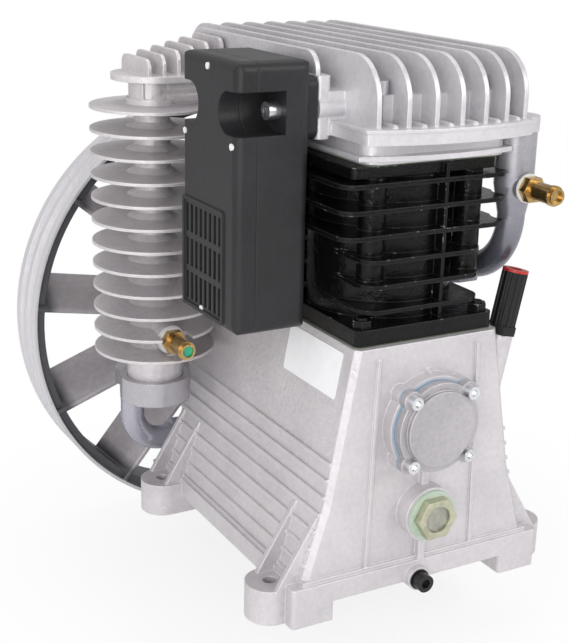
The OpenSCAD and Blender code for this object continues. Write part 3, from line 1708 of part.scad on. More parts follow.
// Flywheel bolt and washer
module flywheel_bolt() {
  head_y = wheel_seat + wheel_washer_t;
  color("silver") {
    difference() {
      bar_y(wheel_washer_r, wheel_seat, head_y, 0, crank_z);
      bar_y(wheel_bolt_d / 2 - run_fit, wheel_seat - cut, wheel_seat + cut, 0, crank_z);
    }
    bar_y(wheel_bolt_d / 2 - run_fit, shaft_end - wheel_bolt_len + 2 * cut, head_y, 0, crank_z);
    hex_y(wheel_bolt_af, head_y - cut, head_y + wheel_bolt_h, 0, crank_z);
  }
}

// Trunk piston with ring grooves and pin bosses
module piston(y, r, top, h, pin_bore) {
  difference() {
    union() {
      difference() {
        bar_z(r, top - h, top, 0, y);
        bar_z(r - skirt_wall, top - h - cut, top - crown_t, 0, y);
      }
      intersection() {
        bar_z(r - cut, top - h, top - cut, 0, y);
        difference() {
          bar_y(pin_bore + skirt_wall, y - r, y + r, 0, top - comp_h);
          block(-r, r, y - rod_small_w / 2 - gap, y + rod_small_w / 2 + gap, top - h - cut, top - crown_t);
        }
      }
    }
    bar_y(pin_bore, y - r - cut, y + r + cut, 0, top - comp_h);
    for (k = [0 : ring_count - 1]) {
      z = top - (k + 1) * ring_gap_h - k * ring_h - ring_h;
      difference() {
        bar_z(r + cut, z, z + ring_h, 0, y);
        bar_z(r - ring_deep, z - cut, z + ring_h + cut, 0, y);
      }
    }
  }
}

// The rings of one piston
module rings(y, bore_r, top) {
  for (k = [0 : ring_count - 1]) {
    z = top - (k + 1) * ring_gap_h - k * ring_h - ring_h;
    difference() {
      bar_z(bore_r - run_fit, z, z + ring_h, 0, y);
      bar_z(bore_r - piston_fit - ring_deep, z - cut, z + ring_h + cut, 0, y);
    }
  }
}

// Connecting rod with its cap bolts
module rod(y, low_z, high_z, small_r) {
  difference() {
    union() {
      bar_y(pin_r + rod_wall, y - rod_w / 2, y + rod_w / 2, 0, low_z);
      bar_y(small_r + rod_small_wall, y - rod_small_w / 2, y + rod_small_w / 2, 0, high_z);
      along_y(y - rod_shank_t / 2, y + rod_shank_t / 2) polygon([
        [-pin_r, low_z + pin_r / 2], [pin_r, low_z + pin_r / 2],
        [rod_shank_w / 2, high_z - small_r], [-rod_shank_w / 2, high_z - small_r]
      ]);
      for (x = [-rod_bolt_x, rod_bolt_x]) {
        bar_z(rod_ear_r, low_z - rod_ear_h / 2, low_z + rod_ear_h / 2, x, y);
        bar_z(rod_bolt_r, low_z - rod_ear_h, low_z + rod_ear_h, x, y);
      }
    }
    bar_y(pin_r, y - rod_w, y + rod_w, 0, low_z);
    bar_y(small_r, y - rod_w, y + rod_w, 0, high_z);
  }
}

// Crank pin and gudgeon pin of one rod
module pins(y, low_z, high_z, small_r, bore_r) {
  bar_y(pin_r, y - pin_len / 2, y + pin_len / 2, 0, low_z);
  bar_y(small_r, y - bore_r + skirt_wall, y + bore_r - skirt_wall, 0, high_z);
}

// Low-pressure piston at the top of its stroke
module low_piston() {
  color("silver") piston(low_y, low_bore / 2 - piston_fit, piston_top, low_piston_h, low_gudgeon_r);
}

// Rings of the low-pressure piston
module low_rings() {
  color("dimgray") rings(low_y, low_bore / 2, piston_top);
}

// Low-pressure connecting rod
module low_rod() {
  color("silver") rod(low_y, low_pin_z, piston_top - comp_h, low_gudgeon_r);
}

// Low-pressure crank pin and gudgeon pin
module low_pins() {
  color("darkgray") pins(low_y, low_pin_z, piston_top - comp_h, low_gudgeon_r, low_bore / 2);
}

// High-pressure piston at the bottom of its stroke
module high_piston() {
  color("silver") piston(high_y, high_bore / 2 - piston_fit, high_top, high_piston_h, high_gudgeon_r);
}

// Rings of the high-pressure piston
module high_rings() {
  color("dimgray") rings(high_y, high_bore / 2, high_top);
}

// High-pressure connecting rod
module high_rod() {
  color("silver") rod(high_y, high_pin_z, high_top - comp_h, high_gudgeon_r);
}

// High-pressure crank pin and gudgeon pin
module high_pins() {
  color("darkgray") pins(high_y, high_pin_z, high_top - comp_h, high_gudgeon_r, high_bore / 2);
}

crankcase();
deck_gasket();
cylinder_block();
block_nuts();
lower_gasket();
suction_reeds();
valve_plate();
discharge_reeds();
head_gasket();
cylinder_head();
head_bolts();
intercooler();
intercooler_gasket();
intercooler_bolts();
lower_elbow();
cross_pipe();
pipe_nuts();
side_duct();
duct_seal();
interstage_valve();
interstage_valve_seal();
discharge_valve();
discharge_valve_seal();
filter_base();
filter_cover();
filter_element();
filter_gasket();
filter_screws();
filter_clips();
bearing_cover();
cover_gasket();
cover_screws();
sight_glass();
sight_lens();
sight_washer();
drain_plug();
drain_washer();
filler_plug();
filler_ring();
rear_housing();
housing_screws();
oil_seal();
outer_races();
inner_races();
bearing_balls();
crank_front();
crank_middle();
crank_rear();
flywheel();
shaft_key();
flywheel_bolt();
low_piston();
low_rings();
low_rod();
low_pins();
high_piston();
high_rings();
high_rod();
high_pins();
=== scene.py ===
import math

import bmesh
import bpy
from mathutils import Matrix, Vector


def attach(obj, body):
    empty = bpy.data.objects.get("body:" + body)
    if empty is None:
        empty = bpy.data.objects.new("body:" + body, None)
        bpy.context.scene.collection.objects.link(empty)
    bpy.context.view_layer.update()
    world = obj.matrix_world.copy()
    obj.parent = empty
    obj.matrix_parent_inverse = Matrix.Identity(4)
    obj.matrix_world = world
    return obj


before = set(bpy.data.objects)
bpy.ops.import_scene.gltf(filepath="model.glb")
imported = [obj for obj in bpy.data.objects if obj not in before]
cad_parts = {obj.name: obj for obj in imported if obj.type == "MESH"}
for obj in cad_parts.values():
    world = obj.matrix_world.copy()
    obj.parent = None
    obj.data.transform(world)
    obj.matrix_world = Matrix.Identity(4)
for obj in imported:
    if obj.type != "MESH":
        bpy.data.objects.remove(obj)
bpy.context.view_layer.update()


# The photographer's side: a long lens in front of the pump and to its left, a
# little above the head, held a touch out of level.
def stand(name, data):
    thing = bpy.data.objects.new(name, data)
    bpy.context.scene.collection.objects.link(thing)
    return thing


def aimed(place, aim):
    way = (Vector(aim) - Vector(place)).normalized()
    return Matrix.Translation(place), way, way.to_track_quat("-Z", "Y").to_matrix().to_4x4()


lens_mm = 70.8
lens_nearest = 0.01
lens_tilt = math.radians(-1.26)
lens_place = (-0.5194, -0.8401, 0.5060)
lens_aim = (-0.07521, -0.0413, 0.20862)
camera = stand("camera", bpy.data.cameras.new("camera"))
camera.data.lens = lens_mm
camera.data.clip_start = lens_nearest
move, look, turn = aimed(lens_place, lens_aim)
camera.matrix_world = move @ Matrix.Rotation(lens_tilt, 4, look) @ turn
bpy.context.scene.camera = camera
bpy.context.scene.view_settings.view_transform = "Standard"


# The room: a white tent of four large soft lamps over a pale matt paper floor.
# The floor lies just under the flywheel, which hangs lower than the feet. It
# burns out to plain white away from the pump and is clear from below.
def as_mesh(name, bm):
    mesh = bpy.data.meshes.new(name)
    bm.to_mesh(mesh)
    bm.free()
    return mesh


def math_step(tree, kind, first, second):
    step = tree.nodes.new("ShaderNodeMath")
    step.operation = kind
    for socket, value in zip(step.inputs, (first, second)):
        if isinstance(value, (int, float)):
            socket.default_value = value
        else:
            tree.links.new(value, socket)
    return step.outputs[0]


def ramp(tree, value, start, end, low=0.0, high=1.0):
    step = tree.nodes.new("ShaderNodeMapRange")
    for label, number in (("From Min", start), ("From Max", end), ("To Min", low), ("To Max", high)):
        step.inputs[label].default_value = number
    tree.links.new(value, step.inputs["Value"])
    return step.outputs["Result"]


def mix_colour(tree, share, low, high):
    step = tree.nodes.new("ShaderNodeMix")
    step.data_type = "RGBA"
    tree.links.new(share, step.inputs["Factor"])
    for label, value in (("A", low), ("B", high)):
        if isinstance(value, tuple):
            step.inputs[label].default_value = (*value, 1)
        else:
            tree.links.new(value, step.inputs[label])
    return step.outputs["Result"]


def mix_shader(tree, share, first, second):
    step = tree.nodes.new("ShaderNodeMixShader")
    for socket, value in zip(step.inputs, (share, first, second)):
        tree.links.new(value, socket)
    return step.outputs["Shader"]


def vector_step(tree, kind, *sources):
    step = tree.nodes.new("ShaderNodeVectorMath")
    step.operation = kind
    for socket, source in zip(step.inputs, sources):
        tree.links.new(source, socket)
    return step.outputs["Vector" if kind == "NORMALIZE" else "Value"]


floor_size = 9.0
floor_z = -0.0542
burn_start, burn_end, burn_least = 0.10, 0.46, 0.78
white = (1, 1, 1, 1)
bm = bmesh.new()
bmesh.ops.create_grid(bm, x_segments=1, y_segments=1, size=floor_size)
bmesh.ops.translate(bm, verts=bm.verts, vec=(0, 0, floor_z))
floor = stand("studio_floor", as_mesh("studio_floor", bm))
paper = bpy.data.materials.new("floor_paper")
paper.use_nodes = True
tree = paper.node_tree
skin = tree.nodes["Principled BSDF"]
skin.inputs["Roughness"].default_value = 0.95
skin.inputs["Specular IOR Level"].default_value = 0.1
cloud = tree.nodes.new("ShaderNodeTexNoise")
cloud.inputs["Scale"].default_value = 1.4
place = tree.nodes.new("ShaderNodeTexCoord")
tree.links.new(place.outputs["Object"], cloud.inputs["Vector"])
tint = mix_colour(tree, cloud.outputs["Fac"], (0.93, 0.93, 0.935), (0.97, 0.97, 0.97))
tree.links.new(tint, skin.inputs["Base Color"])
away = vector_step(tree, "LENGTH", place.outputs["Object"])
burn = ramp(tree, away, burn_start, burn_end, low=burn_least)
ray = tree.nodes.new("ShaderNodeLightPath")
blank = tree.nodes.new("ShaderNodeEmission")
blank.inputs["Color"].default_value = white
share = math_step(tree, "MULTIPLY", burn, ray.outputs["Is Camera Ray"])
upper = mix_shader(tree, share, skin.outputs["BSDF"], blank.outputs["Emission"])
side = tree.nodes.new("ShaderNodeNewGeometry")
below = math_step(tree, "MULTIPLY", side.outputs["Backfacing"], ray.outputs["Is Camera Ray"])
open_view = tree.nodes.new("ShaderNodeBsdfTransparent")
one_sided = mix_shader(tree, below, upper, open_view.outputs["BSDF"])
tree.links.new(one_sided, tree.nodes["Material Output"].inputs["Surface"])
floor.data.materials.append(paper)

sky = bpy.data.worlds.new("white_sky")
bpy.context.scene.world = sky
sky.use_nodes = True
tree = sky.node_tree
glow = tree.nodes["Background"]
glow.inputs["Color"].default_value = (1.0, 0.985, 1.0, 1)
glow.inputs["Strength"].default_value = 0.55
clear = tree.nodes.new("ShaderNodeBackground")
clear.inputs["Color"].default_value = white
clear.inputs["Strength"].default_value = 1.0
ray = tree.nodes.new("ShaderNodeLightPath")
seen = mix_shader(
    tree, ray.outputs["Is Camera Ray"], glow.outputs["Background"], clear.outputs["Background"]
)
tree.links.new(seen, tree.nodes["World Output"].inputs["Surface"])

for name, where, aim, size, power in [
    ("lamp_front_right", (0.95, -1.55, 1.15), (0.0, -0.05, 0.20), 1.0, 13),
    ("lamp_front_left", (-1.10, -1.25, 0.55), (-0.08, 0.0, 0.20), 0.7, 9.5),
    ("lamp_left", (-1.75, -0.35, 0.95), (-0.05, 0.05, 0.22), 1.2, 7),
    ("lamp_top", (0.05, 0.25, 1.75), (0.0, 0.0, 0.25), 1.3, 8),
]:
    lamp = bpy.data.lights.new(name, "AREA")
    lamp.shape = "SQUARE"
    lamp.size = size
    lamp.energy = power
    move, look, turn = aimed(where, aim)
    stand(name, lamp).matrix_world = move @ turn


# Crankcase: one gravity casting in aluminium, shot blasted and left bare, so
# its skin is a fine satin grain with soft cloudy patches and paler edges, the
# edges partly rubbed bright and partly a painted highlight. The group below
# makes this skin for every piece, in other strengths.
def shade_group(name, inputs, outputs):
    group = bpy.data.node_groups.new(name, "ShaderNodeTree")
    for label, value in inputs:
        socket = group.interface.new_socket(label, in_out="INPUT", socket_type="NodeSocketFloat")
        socket.default_value = value
    for label, kind in outputs:
        group.interface.new_socket(label, in_out="OUTPUT", socket_type=kind)
    return group, group.nodes.new("NodeGroupInput"), group.nodes.new("NodeGroupOutput")


cast_skin, taken, given = shade_group(
    "cast_skin",
    [("Grain", 1.0), ("Depth", 0.0004), ("Edge", 0.0008), ("Wave", 0.25)],
    [
        ("Normal", "NodeSocketVector"), ("Mottle", "NodeSocketFloat"), ("Speck", "NodeSocketFloat"),
        ("Rim", "NodeSocketFloat"),
    ],
)
place = cast_skin.nodes.new("ShaderNodeTexCoord")
grains = []
for scale, detail in ((950, 2), (230, 3), (17, 3)):
    noise = cast_skin.nodes.new("ShaderNodeTexNoise")
    noise.inputs["Detail"].default_value = detail
    cast_skin.links.new(place.outputs["Object"], noise.inputs["Vector"])
    grain_scale = math_step(cast_skin, "MULTIPLY", taken.outputs["Grain"], scale)
    cast_skin.links.new(grain_scale, noise.inputs["Scale"])
    grains.append(noise.outputs["Fac"])
fine, middle, broad = grains
soft = cast_skin.nodes.new("ShaderNodeBevel")
soft.samples = 4
cast_skin.links.new(taken.outputs["Edge"], soft.inputs["Radius"])
bump = cast_skin.nodes.new("ShaderNodeBump")
bump.inputs["Strength"].default_value = 0.55
cast_skin.links.new(taken.outputs["Depth"], bump.inputs["Distance"])
swell = math_step(cast_skin, "MULTIPLY", broad, taken.outputs["Wave"])
height = math_step(cast_skin, "ADD", math_step(cast_skin, "MULTIPLY", fine, 0.5), middle)
cast_skin.links.new(math_step(cast_skin, "ADD", height, swell), bump.inputs["Height"])
cast_skin.links.new(soft.outputs["Normal"], bump.inputs["Normal"])
facing = cast_skin.nodes.new("ShaderNodeNewGeometry")
along = vector_step(cast_skin, "DOT_PRODUCT", soft.outputs["Normal"], facing.outputs["Normal"])
bent = math_step(cast_skin, "SUBTRACT", 1.0, along)
broad_share, middle_share = 0.62, 0.38
patches = math_step(
    cast_skin, "ADD", math_step(cast_skin, "MULTIPLY", broad, broad_share),
    math_step(cast_skin, "MULTIPLY", middle, middle_share),
)
for label, result in (
    ("Normal", bump.outputs["Normal"]),
    ("Mottle", ramp(cast_skin, patches, 0.34, 0.66)),
    ("Speck", ramp(cast_skin, middle, 0.62, 0.74)),
    ("Rim", ramp(cast_skin, bent, 0.01, 0.16)),
):
    cast_skin.links.new(result, given.inputs[label])


def piece_finish(
    name, dark, light, metal, rough, grain=1.0, depth=0.0004, edge=0.0008, wave=0.25, coat=0.0,
    wear_and_edge_highlight=None, shine=0.5, painted_glint=None,
):
    finish = bpy.data.materials.new(name)
    finish.use_nodes = True
    tree = finish.node_tree
    skin = tree.nodes["Principled BSDF"]
    feel = tree.nodes.new("ShaderNodeGroup")
    feel.node_tree = cast_skin
    for label, value in (("Grain", grain), ("Depth", depth), ("Edge", edge), ("Wave", wave)):
        feel.inputs[label].default_value = value
    colour = mix_colour(tree, feel.outputs["Mottle"], dark, light)
    # Paler edges along the rim mask: partly rubbed wear, partly a painted highlight.
    if wear_and_edge_highlight:
        share, shade = wear_and_edge_highlight
        colour = mix_colour(tree, math_step(tree, "MULTIPLY", feel.outputs["Rim"], share), colour, shade)
    # Pale spots along the edges: painted glints standing in for highlights.
    if painted_glint:
        share, shade = painted_glint
        spots = math_step(tree, "MULTIPLY", feel.outputs["Rim"], feel.outputs["Speck"])
        colour = mix_colour(tree, math_step(tree, "MULTIPLY", spots, share), colour, shade)
    tree.links.new(colour, skin.inputs["Base Color"])
    tree.links.new(ramp(tree, feel.outputs["Mottle"], 0.0, 1.0, *rough), skin.inputs["Roughness"])
    tree.links.new(feel.outputs["Normal"], skin.inputs["Normal"])
    for label, value in (
        ("Metallic", metal), ("Specular IOR Level", shine), ("Coat Weight", coat), ("Coat Roughness", 0.12),
    ):
        skin.inputs[label].default_value = value
    return finish


def dress(finish, *names):
    for name in names:
        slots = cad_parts[name].data.materials
        for at in range(len(slots)):
            slots[at] = finish


dress(
    piece_finish(
        "blasted_aluminium", (0.56, 0.535, 0.55), (0.68, 0.655, 0.67), metal=0.45, rough=(0.40, 0.50),
        depth=0.0011, edge=0.0014, wear_and_edge_highlight=(0.9, (0.90, 0.875, 0.885)),
    ),
    "crankcase",
)


# Blank label: a slip of white paper with round corners, a little glossy, stuck
# on the left slope of the crankcase.
def thicken(bm, faces, way):
    grown = bmesh.ops.extrude_face_region(bm, geom=faces)
    raised = [v for v in grown["geom"] if isinstance(v, bmesh.types.BMVert)]
    bmesh.ops.translate(bm, verts=raised, vec=way)


label_y, label_z = (-0.110, -0.032), (0.168, 0.203)
label_t = 0.0003
label_lift = 0.0001
label_corner_r = 0.002
slope_foot_x, slope_foot_z = 0.084, 0.092
slope_run, slope_rise = 0.0215, 0.117
label_x = [(z - slope_foot_z) * slope_run / slope_rise - slope_foot_x for z in label_z]
outward = Vector((-slope_rise, 0, slope_run)).normalized()
bm = bmesh.new()
corners = [(0, 0), (0, 1), (1, 1), (1, 0)]
label_face = bm.faces.new([
    bm.verts.new(Vector((label_x[up], label_y[back], label_z[up])) + outward * label_lift)
    for up, back in corners
])
thicken(bm, [label_face], outward * label_t)
short = [e for e in bm.edges if e.calc_length() < 2 * label_t]
bmesh.ops.bevel(bm, geom=short, offset=label_corner_r, affect="EDGES", segments=4, profile=0.5, material=-1)
bmesh.ops.recalc_face_normals(bm, faces=bm.faces)
label = stand("blank_label", as_mesh("blank_label", bm))
label.data.materials.append(
    piece_finish(
        "label_paper", (0.80, 0.81, 0.82), (0.88, 0.88, 0.89), metal=0.0, rough=(0.30, 0.42),
        grain=0.6, depth=0.00008, edge=0.0002,
    )
)
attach(label, "housing")


# Gaskets: thin compressed fibre sheets, cut by die and trapped in the joints,
# so that only their edges show.
dress(
    piece_finish(
        "gasket_fibre", (0.06, 0.075, 0.05), (0.11, 0.13, 0.085), metal=0.0, rough=(0.75, 0.9),
        grain=2.2, depth=0.0002, edge=0.0002,
    ),
    "deck_gasket", "lower_gasket", "head_gasket", "intercooler_gasket",
)
dress(
    piece_finish(
        "blue_gasket", (0.10, 0.30, 0.48), (0.20, 0.46, 0.64), metal=0.0, rough=(0.55, 0.7),
        grain=2.0, depth=0.0002, edge=0.0002,
    ),
    "cover_gasket",
)


# Cylinder block: grey iron with its barrels and fins in one casting, painted
# together with its nuts in thick gloss black that has run a little over the
# coarse sand skin. Grey lines and pale spots along the fin edges are painted
# highlights.
dress(
    piece_finish(
        "black_enamel_iron", (0.003, 0.003, 0.003), (0.007, 0.007, 0.007), metal=0.0, rough=(0.10, 0.22),
        grain=0.7, depth=0.0012, edge=0.0013, wave=0.5, wear_and_edge_highlight=(0.25, (0.10, 0.10, 0.10)), shine=0.2,
        painted_glint=(0.9, (0.7, 0.7, 0.7)),
    ),
    "cylinder_block", "block_nuts",
)


# Fasteners: bolts and socket screws in bright zinc-plated steel, with the fine
# lines of rolling and a slight cloudiness.
dress(
    piece_finish(
        "zinc_plate", (0.55, 0.56, 0.58), (0.74, 0.75, 0.77), metal=0.95, rough=(0.22, 0.34),
        grain=1.6, depth=0.0001, edge=0.0004,
    ),
    "head_bolts", "intercooler_bolts", "filter_screws", "cover_screws", "housing_screws", "flywheel_bolt",
)


# Valve plate and head: sand castings in the same bare aluminium, a little
# brighter and finer than the crankcase, with smooth runs between the fins.
dress(
    piece_finish(
        "bright_casting", (0.60, 0.585, 0.605), (0.74, 0.725, 0.745), metal=0.42, rough=(0.34, 0.46),
        grain=1.1, depth=0.0005, edge=0.0012, wear_and_edge_highlight=(0.85, (0.93, 0.92, 0.93)),
    ),
    "valve_plate", "cylinder_head",
)


# Reeds: the thin leaves that open and close the ports, with their stops. They
# are stamped from blued spring steel, ground flat and held by the valve plate.
dress(
    piece_finish(
        "spring_steel", (0.20, 0.24, 0.32), (0.34, 0.37, 0.44), metal=0.95, rough=(0.18, 0.30),
        grain=2.0, depth=0.00005, edge=0.0002,
    ),
    "suction_reeds", "discharge_reeds",
)


# Intercooler: a sand casting with turned fins, blasted like the crankcase. Its
# column and arm are one piece.
dress(
    piece_finish(
        "column_casting", (0.54, 0.515, 0.53), (0.72, 0.695, 0.705), metal=0.36, rough=(0.36, 0.48),
        grain=0.9, depth=0.0009, edge=0.0012, wear_and_edge_highlight=(0.95, (0.96, 0.93, 0.92)),
    ),
    "intercooler",
)


# Pipework: the cross pipe and its nuts are painted a glossy blue grey. The
# elbow under the column is two-tone, a bare grey cup over a pipe in the same
# paint, here made lighter as painted light for the shade it sits in. The side
# duct darkens slowly from bare grey at the top to a deep blue grey below,
# partly its paint and partly painted shade and a painted reflection of the
# black block.
dress(
    piece_finish(
        "blue_grey_paint", (0.25, 0.25, 0.295), (0.31, 0.31, 0.35), metal=0.25, rough=(0.20, 0.30),
        grain=0.7, depth=0.00025, edge=0.0014, wave=0.4, coat=0.25,
    ),
    "cross_pipe", "pipe_nuts",
)


def own_axes(tree):
    place = tree.nodes.new("ShaderNodeTexCoord")
    split = tree.nodes.new("ShaderNodeSeparateXYZ")
    tree.links.new(place.outputs["Object"], split.inputs["Vector"])
    return place, split


# The lower tone is the blue-grey paint, lightened on the elbow as painted light and darkened on the duct as
# painted shade and reflection; on the duct it fades in over a long height.
for name, paint_z, bare_z, paint in (
    ("lower_elbow", 0.1005, 0.1015, (0.42, 0.42, 0.48)),
    ("side_duct", 0.262, 0.350, (0.15, 0.155, 0.19)),
):
    two_tone_and_shade_finish = piece_finish(
        name + "_finish", (0.40, 0.39, 0.415), (0.46, 0.45, 0.475), metal=0.5, rough=(0.22, 0.30),
        grain=0.9, depth=0.0001, edge=0.0014, coat=0.2,
    )
    tree = two_tone_and_shade_finish.node_tree
    skin = tree.nodes["Principled BSDF"]
    place, split = own_axes(tree)
    bare = skin.inputs["Base Color"].links[0].from_socket
    two_tone_and_shade_mix = mix_colour(tree, ramp(tree, split.outputs["Z"], paint_z, bare_z), paint, bare)
    tree.links.new(two_tone_and_shade_mix, skin.inputs["Base Color"])
    dress(two_tone_and_shade_finish, name)


# Brass: the two safety valves, turned from bar and left bare, so they have
# gone slightly brown in patches.
dress(
    piece_finish(
        "turned_brass", (0.36, 0.235, 0.085), (0.64, 0.45, 0.19), metal=0.95, rough=(0.16, 0.32),
        grain=1.4, depth=0.00012, edge=0.0004,
    ),
    "interstage_valve", "discharge_valve",
)


# Seal paint: the lower safety valve is set at the works, and a spot of green
# lacquer in its recess shows that nobody has turned it since. The spot has a
# raised border and a dip in its middle, as the drop dried.
spot_place = (-0.1235, 0.0309, 0.169)
spot_r, spot_t = 0.0045, 0.0009
border, dip_width, dip_depth = 0.0012, 0.0013, 0.0004
bm = bmesh.new()
bmesh.ops.create_circle(bm, cap_ends=True, radius=spot_r, segments=32)
thicken(bm, list(bm.faces), (0, 0, spot_t))
top = [f for f in bm.faces if f.calc_center_median().z > spot_t * 0.9]
for inset, sink in ((border, 0.0), (dip_width, -dip_depth)):
    bmesh.ops.inset_region(bm, faces=top, thickness=inset)
    bmesh.ops.translate(bm, verts=list({v for f in top for v in f.verts}), vec=(0, 0, sink))
bmesh.ops.recalc_face_normals(bm, faces=bm.faces)
bmesh.ops.rotate(bm, verts=bm.verts, matrix=Matrix.Rotation(math.radians(90), 3, "X"))
bmesh.ops.translate(bm, verts=bm.verts, vec=spot_place)
spot = stand("valve_seal_paint", as_mesh("valve_seal_paint", bm))
spot.data.materials.append(
    piece_finish(
        "green_lacquer", (0.005, 0.26, 0.13), (0.02, 0.50, 0.28), metal=0.0, rough=(0.15, 0.3),
        grain=1.6, depth=0.0003, edge=0.0002, wave=0.2, coat=0.5,
    )
)
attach(spot, "housing")


# Sealing washers, clips and seals: washers and clips moulded in white nylon,
# and the duct seal, filter gasket and shaft seal in black rubber.
dress(
    piece_finish(
        "white_nylon", (0.70, 0.71, 0.70), (0.82, 0.83, 0.82), metal=0.0, rough=(0.35, 0.5),
        depth=0.0001, edge=0.0003,
    ),
    "interstage_valve_seal", "discharge_valve_seal", "filter_clips",
)
dress(
    piece_finish(
        "black_rubber", (0.012, 0.012, 0.012), (0.03, 0.03, 0.03), metal=0.0, rough=(0.5, 0.7),
        grain=1.2, depth=0.0002, edge=0.0003,
    ),
    "duct_seal", "filter_gasket", "oil_seal",
)


# Filter box: two halves moulded in charcoal plastic with a fine spark-eroded
# grain, hung on the head, with a pleated paper element inside, coloured near
# black as painted shade for the inside of the box.
dress(
    piece_finish(
        "charcoal_plastic", (0.016, 0.016, 0.0175), (0.024, 0.024, 0.026), metal=0.0, rough=(0.36, 0.46),
        grain=1.3, depth=0.00022, edge=0.0016, wave=0.1, shine=0.3,
    ),
    "filter_base", "filter_cover",
)
# The element's near-black colour is painted shade for the dark inside of the box.
dress(
    piece_finish(
        "filter_paper", (0.035, 0.035, 0.035), (0.07, 0.07, 0.068), metal=0.0, rough=(0.8, 0.95),
        grain=2.0, depth=0.0006, edge=0.0003,
    ),
    "filter_element",
)


# Front bearing cover and rear housing: small aluminium castings, blasted and
# left bare, with a turned step that seats in the crankcase.
dress(
    piece_finish(
        "cover_casting", (0.38, 0.365, 0.38), (0.52, 0.50, 0.515), metal=0.55, rough=(0.32, 0.44),
        grain=1.2, depth=0.0007, edge=0.0011, wear_and_edge_highlight=(0.9, (0.86, 0.84, 0.85)),
    ),
    "bearing_cover", "rear_housing",
)


# Oil sight glass: a hexagon frame in yellow passivated steel round a window
# that the oil behind it has clouded, on a pale green washer.
dress(
    piece_finish(
        "yellow_zinc", (0.36, 0.36, 0.25), (0.60, 0.60, 0.46), metal=0.85, rough=(0.24, 0.36),
        grain=1.2, depth=0.0001, edge=0.0005,
    ),
    "sight_glass",
)
dress(
    piece_finish(
        "pale_green_washer", (0.40, 0.50, 0.40), (0.55, 0.64, 0.54), metal=0.0, rough=(0.3, 0.45),
        depth=0.0001, edge=0.0004,
    ),
    "sight_washer",
)
dress(
    piece_finish(
        "sight_window", (0.20, 0.20, 0.165), (0.40, 0.395, 0.34), metal=0.0, rough=(0.06, 0.14),
        grain=0.8, depth=0.0001, edge=0.0006, wave=0.4, coat=0.6,
    ),
    "sight_lens",
)


# Drain plug and oil filler: a blackened socket plug with its washer low on the
# front, and a ribbed plastic breather plug with a red ring on the right shoulder.
dress(
    piece_finish(
        "black_oxide", (0.008, 0.008, 0.009), (0.020, 0.020, 0.022), metal=0.4, rough=(0.24, 0.36),
        grain=1.4, depth=0.00012, edge=0.0004,
    ),
    "drain_plug", "drain_washer",
)
dress(
    piece_finish(
        "black_plastic", (0.006, 0.006, 0.0065), (0.012, 0.012, 0.013), metal=0.0, rough=(0.30, 0.42),
        grain=1.2, depth=0.0001, edge=0.0005, shine=0.3,
    ),
    "filler_plug",
)
dress(
    piece_finish(
        "red_plastic", (0.36, 0.012, 0.010), (0.52, 0.025, 0.018), metal=0.0, rough=(0.3, 0.42),
        grain=1.2, depth=0.0001, edge=0.0004,
    ),
    "filler_ring",
)


# Running gear: ground steel bearings and pins, a forged crankshaft, pistons and
# rods in aluminium alloy, and iron rings. All of it is closed in by the castings.
dress(
    piece_finish(
        "ground_steel", (0.50, 0.50, 0.51), (0.66, 0.66, 0.67), metal=1.0, rough=(0.16, 0.26),
        grain=1.8, depth=0.00005, edge=0.0004,
    ),
    "outer_races", "inner_races", "bearing_balls", "shaft_key", "low_pins", "high_pins",
)
dress(
    piece_finish(
        "forged_steel", (0.28, 0.28, 0.29), (0.42, 0.42, 0.43), metal=0.95, rough=(0.32, 0.46),
        grain=0.9,
    ),
    "crank_front", "crank_middle", "crank_rear",
)
dress(
    piece_finish(
        "piston_alloy", (0.58, 0.58, 0.60), (0.72, 0.72, 0.74), metal=0.95, rough=(0.26, 0.38),
        grain=1.4, depth=0.0001, edge=0.0005,
    ),
    "low_piston", "high_piston", "low_rod", "high_rod",
)
dress(
    piece_finish(
        "ring_iron", (0.20, 0.20, 0.21), (0.32, 0.32, 0.33), metal=0.95, rough=(0.24, 0.36),
        grain=1.6, depth=0.0001, edge=0.0003,
    ),
    "low_rings", "high_rings",
)


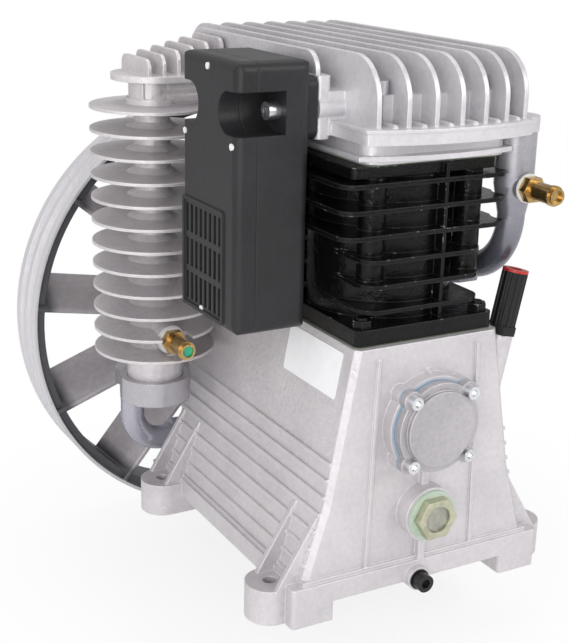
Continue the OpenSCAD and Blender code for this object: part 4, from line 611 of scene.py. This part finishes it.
# Flywheel: a grey iron casting whose rim is turned bright outside and on its
# narrow front lip, with two belt grooves. The rim's recessed face and inside
# stay dark, and the blades and hub keep a rough grey-pink primer.
shaft_z = 0.1465
blade_end_r, dark_rim_r = 0.176, 0.186
dark_end_r, turned_rim_r = 0.1884, 0.1890
recess_end_r, lip_r = 0.1964, 0.1969
rim_face_y, behind_face_y = 0.1915, 0.1925
inward_lean, level_lean = -0.5, -0.2
turned_colour, dark_colour = (0.68, 0.67, 0.69), (0.10, 0.10, 0.11)
wheel_finish = piece_finish(
    "flywheel_iron", (0.34, 0.32, 0.335), (0.50, 0.47, 0.485), metal=0.40, rough=(0.42, 0.56),
    grain=0.8, depth=0.0007, edge=0.0012, wave=0.4, wear_and_edge_highlight=(0.7, (0.78, 0.75, 0.76)),
)
tree = wheel_finish.node_tree
skin = tree.nodes["Principled BSDF"]
place, split = own_axes(tree)
spoke = tree.nodes.new("ShaderNodeCombineXYZ")
tree.links.new(split.outputs["X"], spoke.inputs["X"])
tree.links.new(math_step(tree, "SUBTRACT", split.outputs["Z"], shaft_z), spoke.inputs["Z"])
from_shaft = vector_step(tree, "LENGTH", spoke.outputs["Vector"])
away = vector_step(tree, "NORMALIZE", spoke.outputs["Vector"])
lean = vector_step(tree, "DOT_PRODUCT", away, place.outputs["Normal"])
rim = ramp(tree, from_shaft, blade_end_r, dark_rim_r)
rim_metal = ramp(tree, from_shaft, dark_end_r, turned_rim_r)
not_inward = ramp(tree, lean, inward_lean, level_lean)
front_lip = ramp(tree, from_shaft, recess_end_r, lip_r)
behind_face = ramp(tree, split.outputs["Y"], rim_face_y, behind_face_y)
outer_skin = math_step(tree, "MULTIPLY", rim_metal, not_inward)
machined = math_step(tree, "MULTIPLY", outer_skin, math_step(tree, "MAXIMUM", front_lip, behind_face))
colour = mix_colour(tree, rim, skin.inputs["Base Color"].links[0].from_socket, dark_colour)
colour = mix_colour(tree, machined, colour, turned_colour)
tree.links.new(colour, skin.inputs["Base Color"])
dress(wheel_finish, "flywheel")
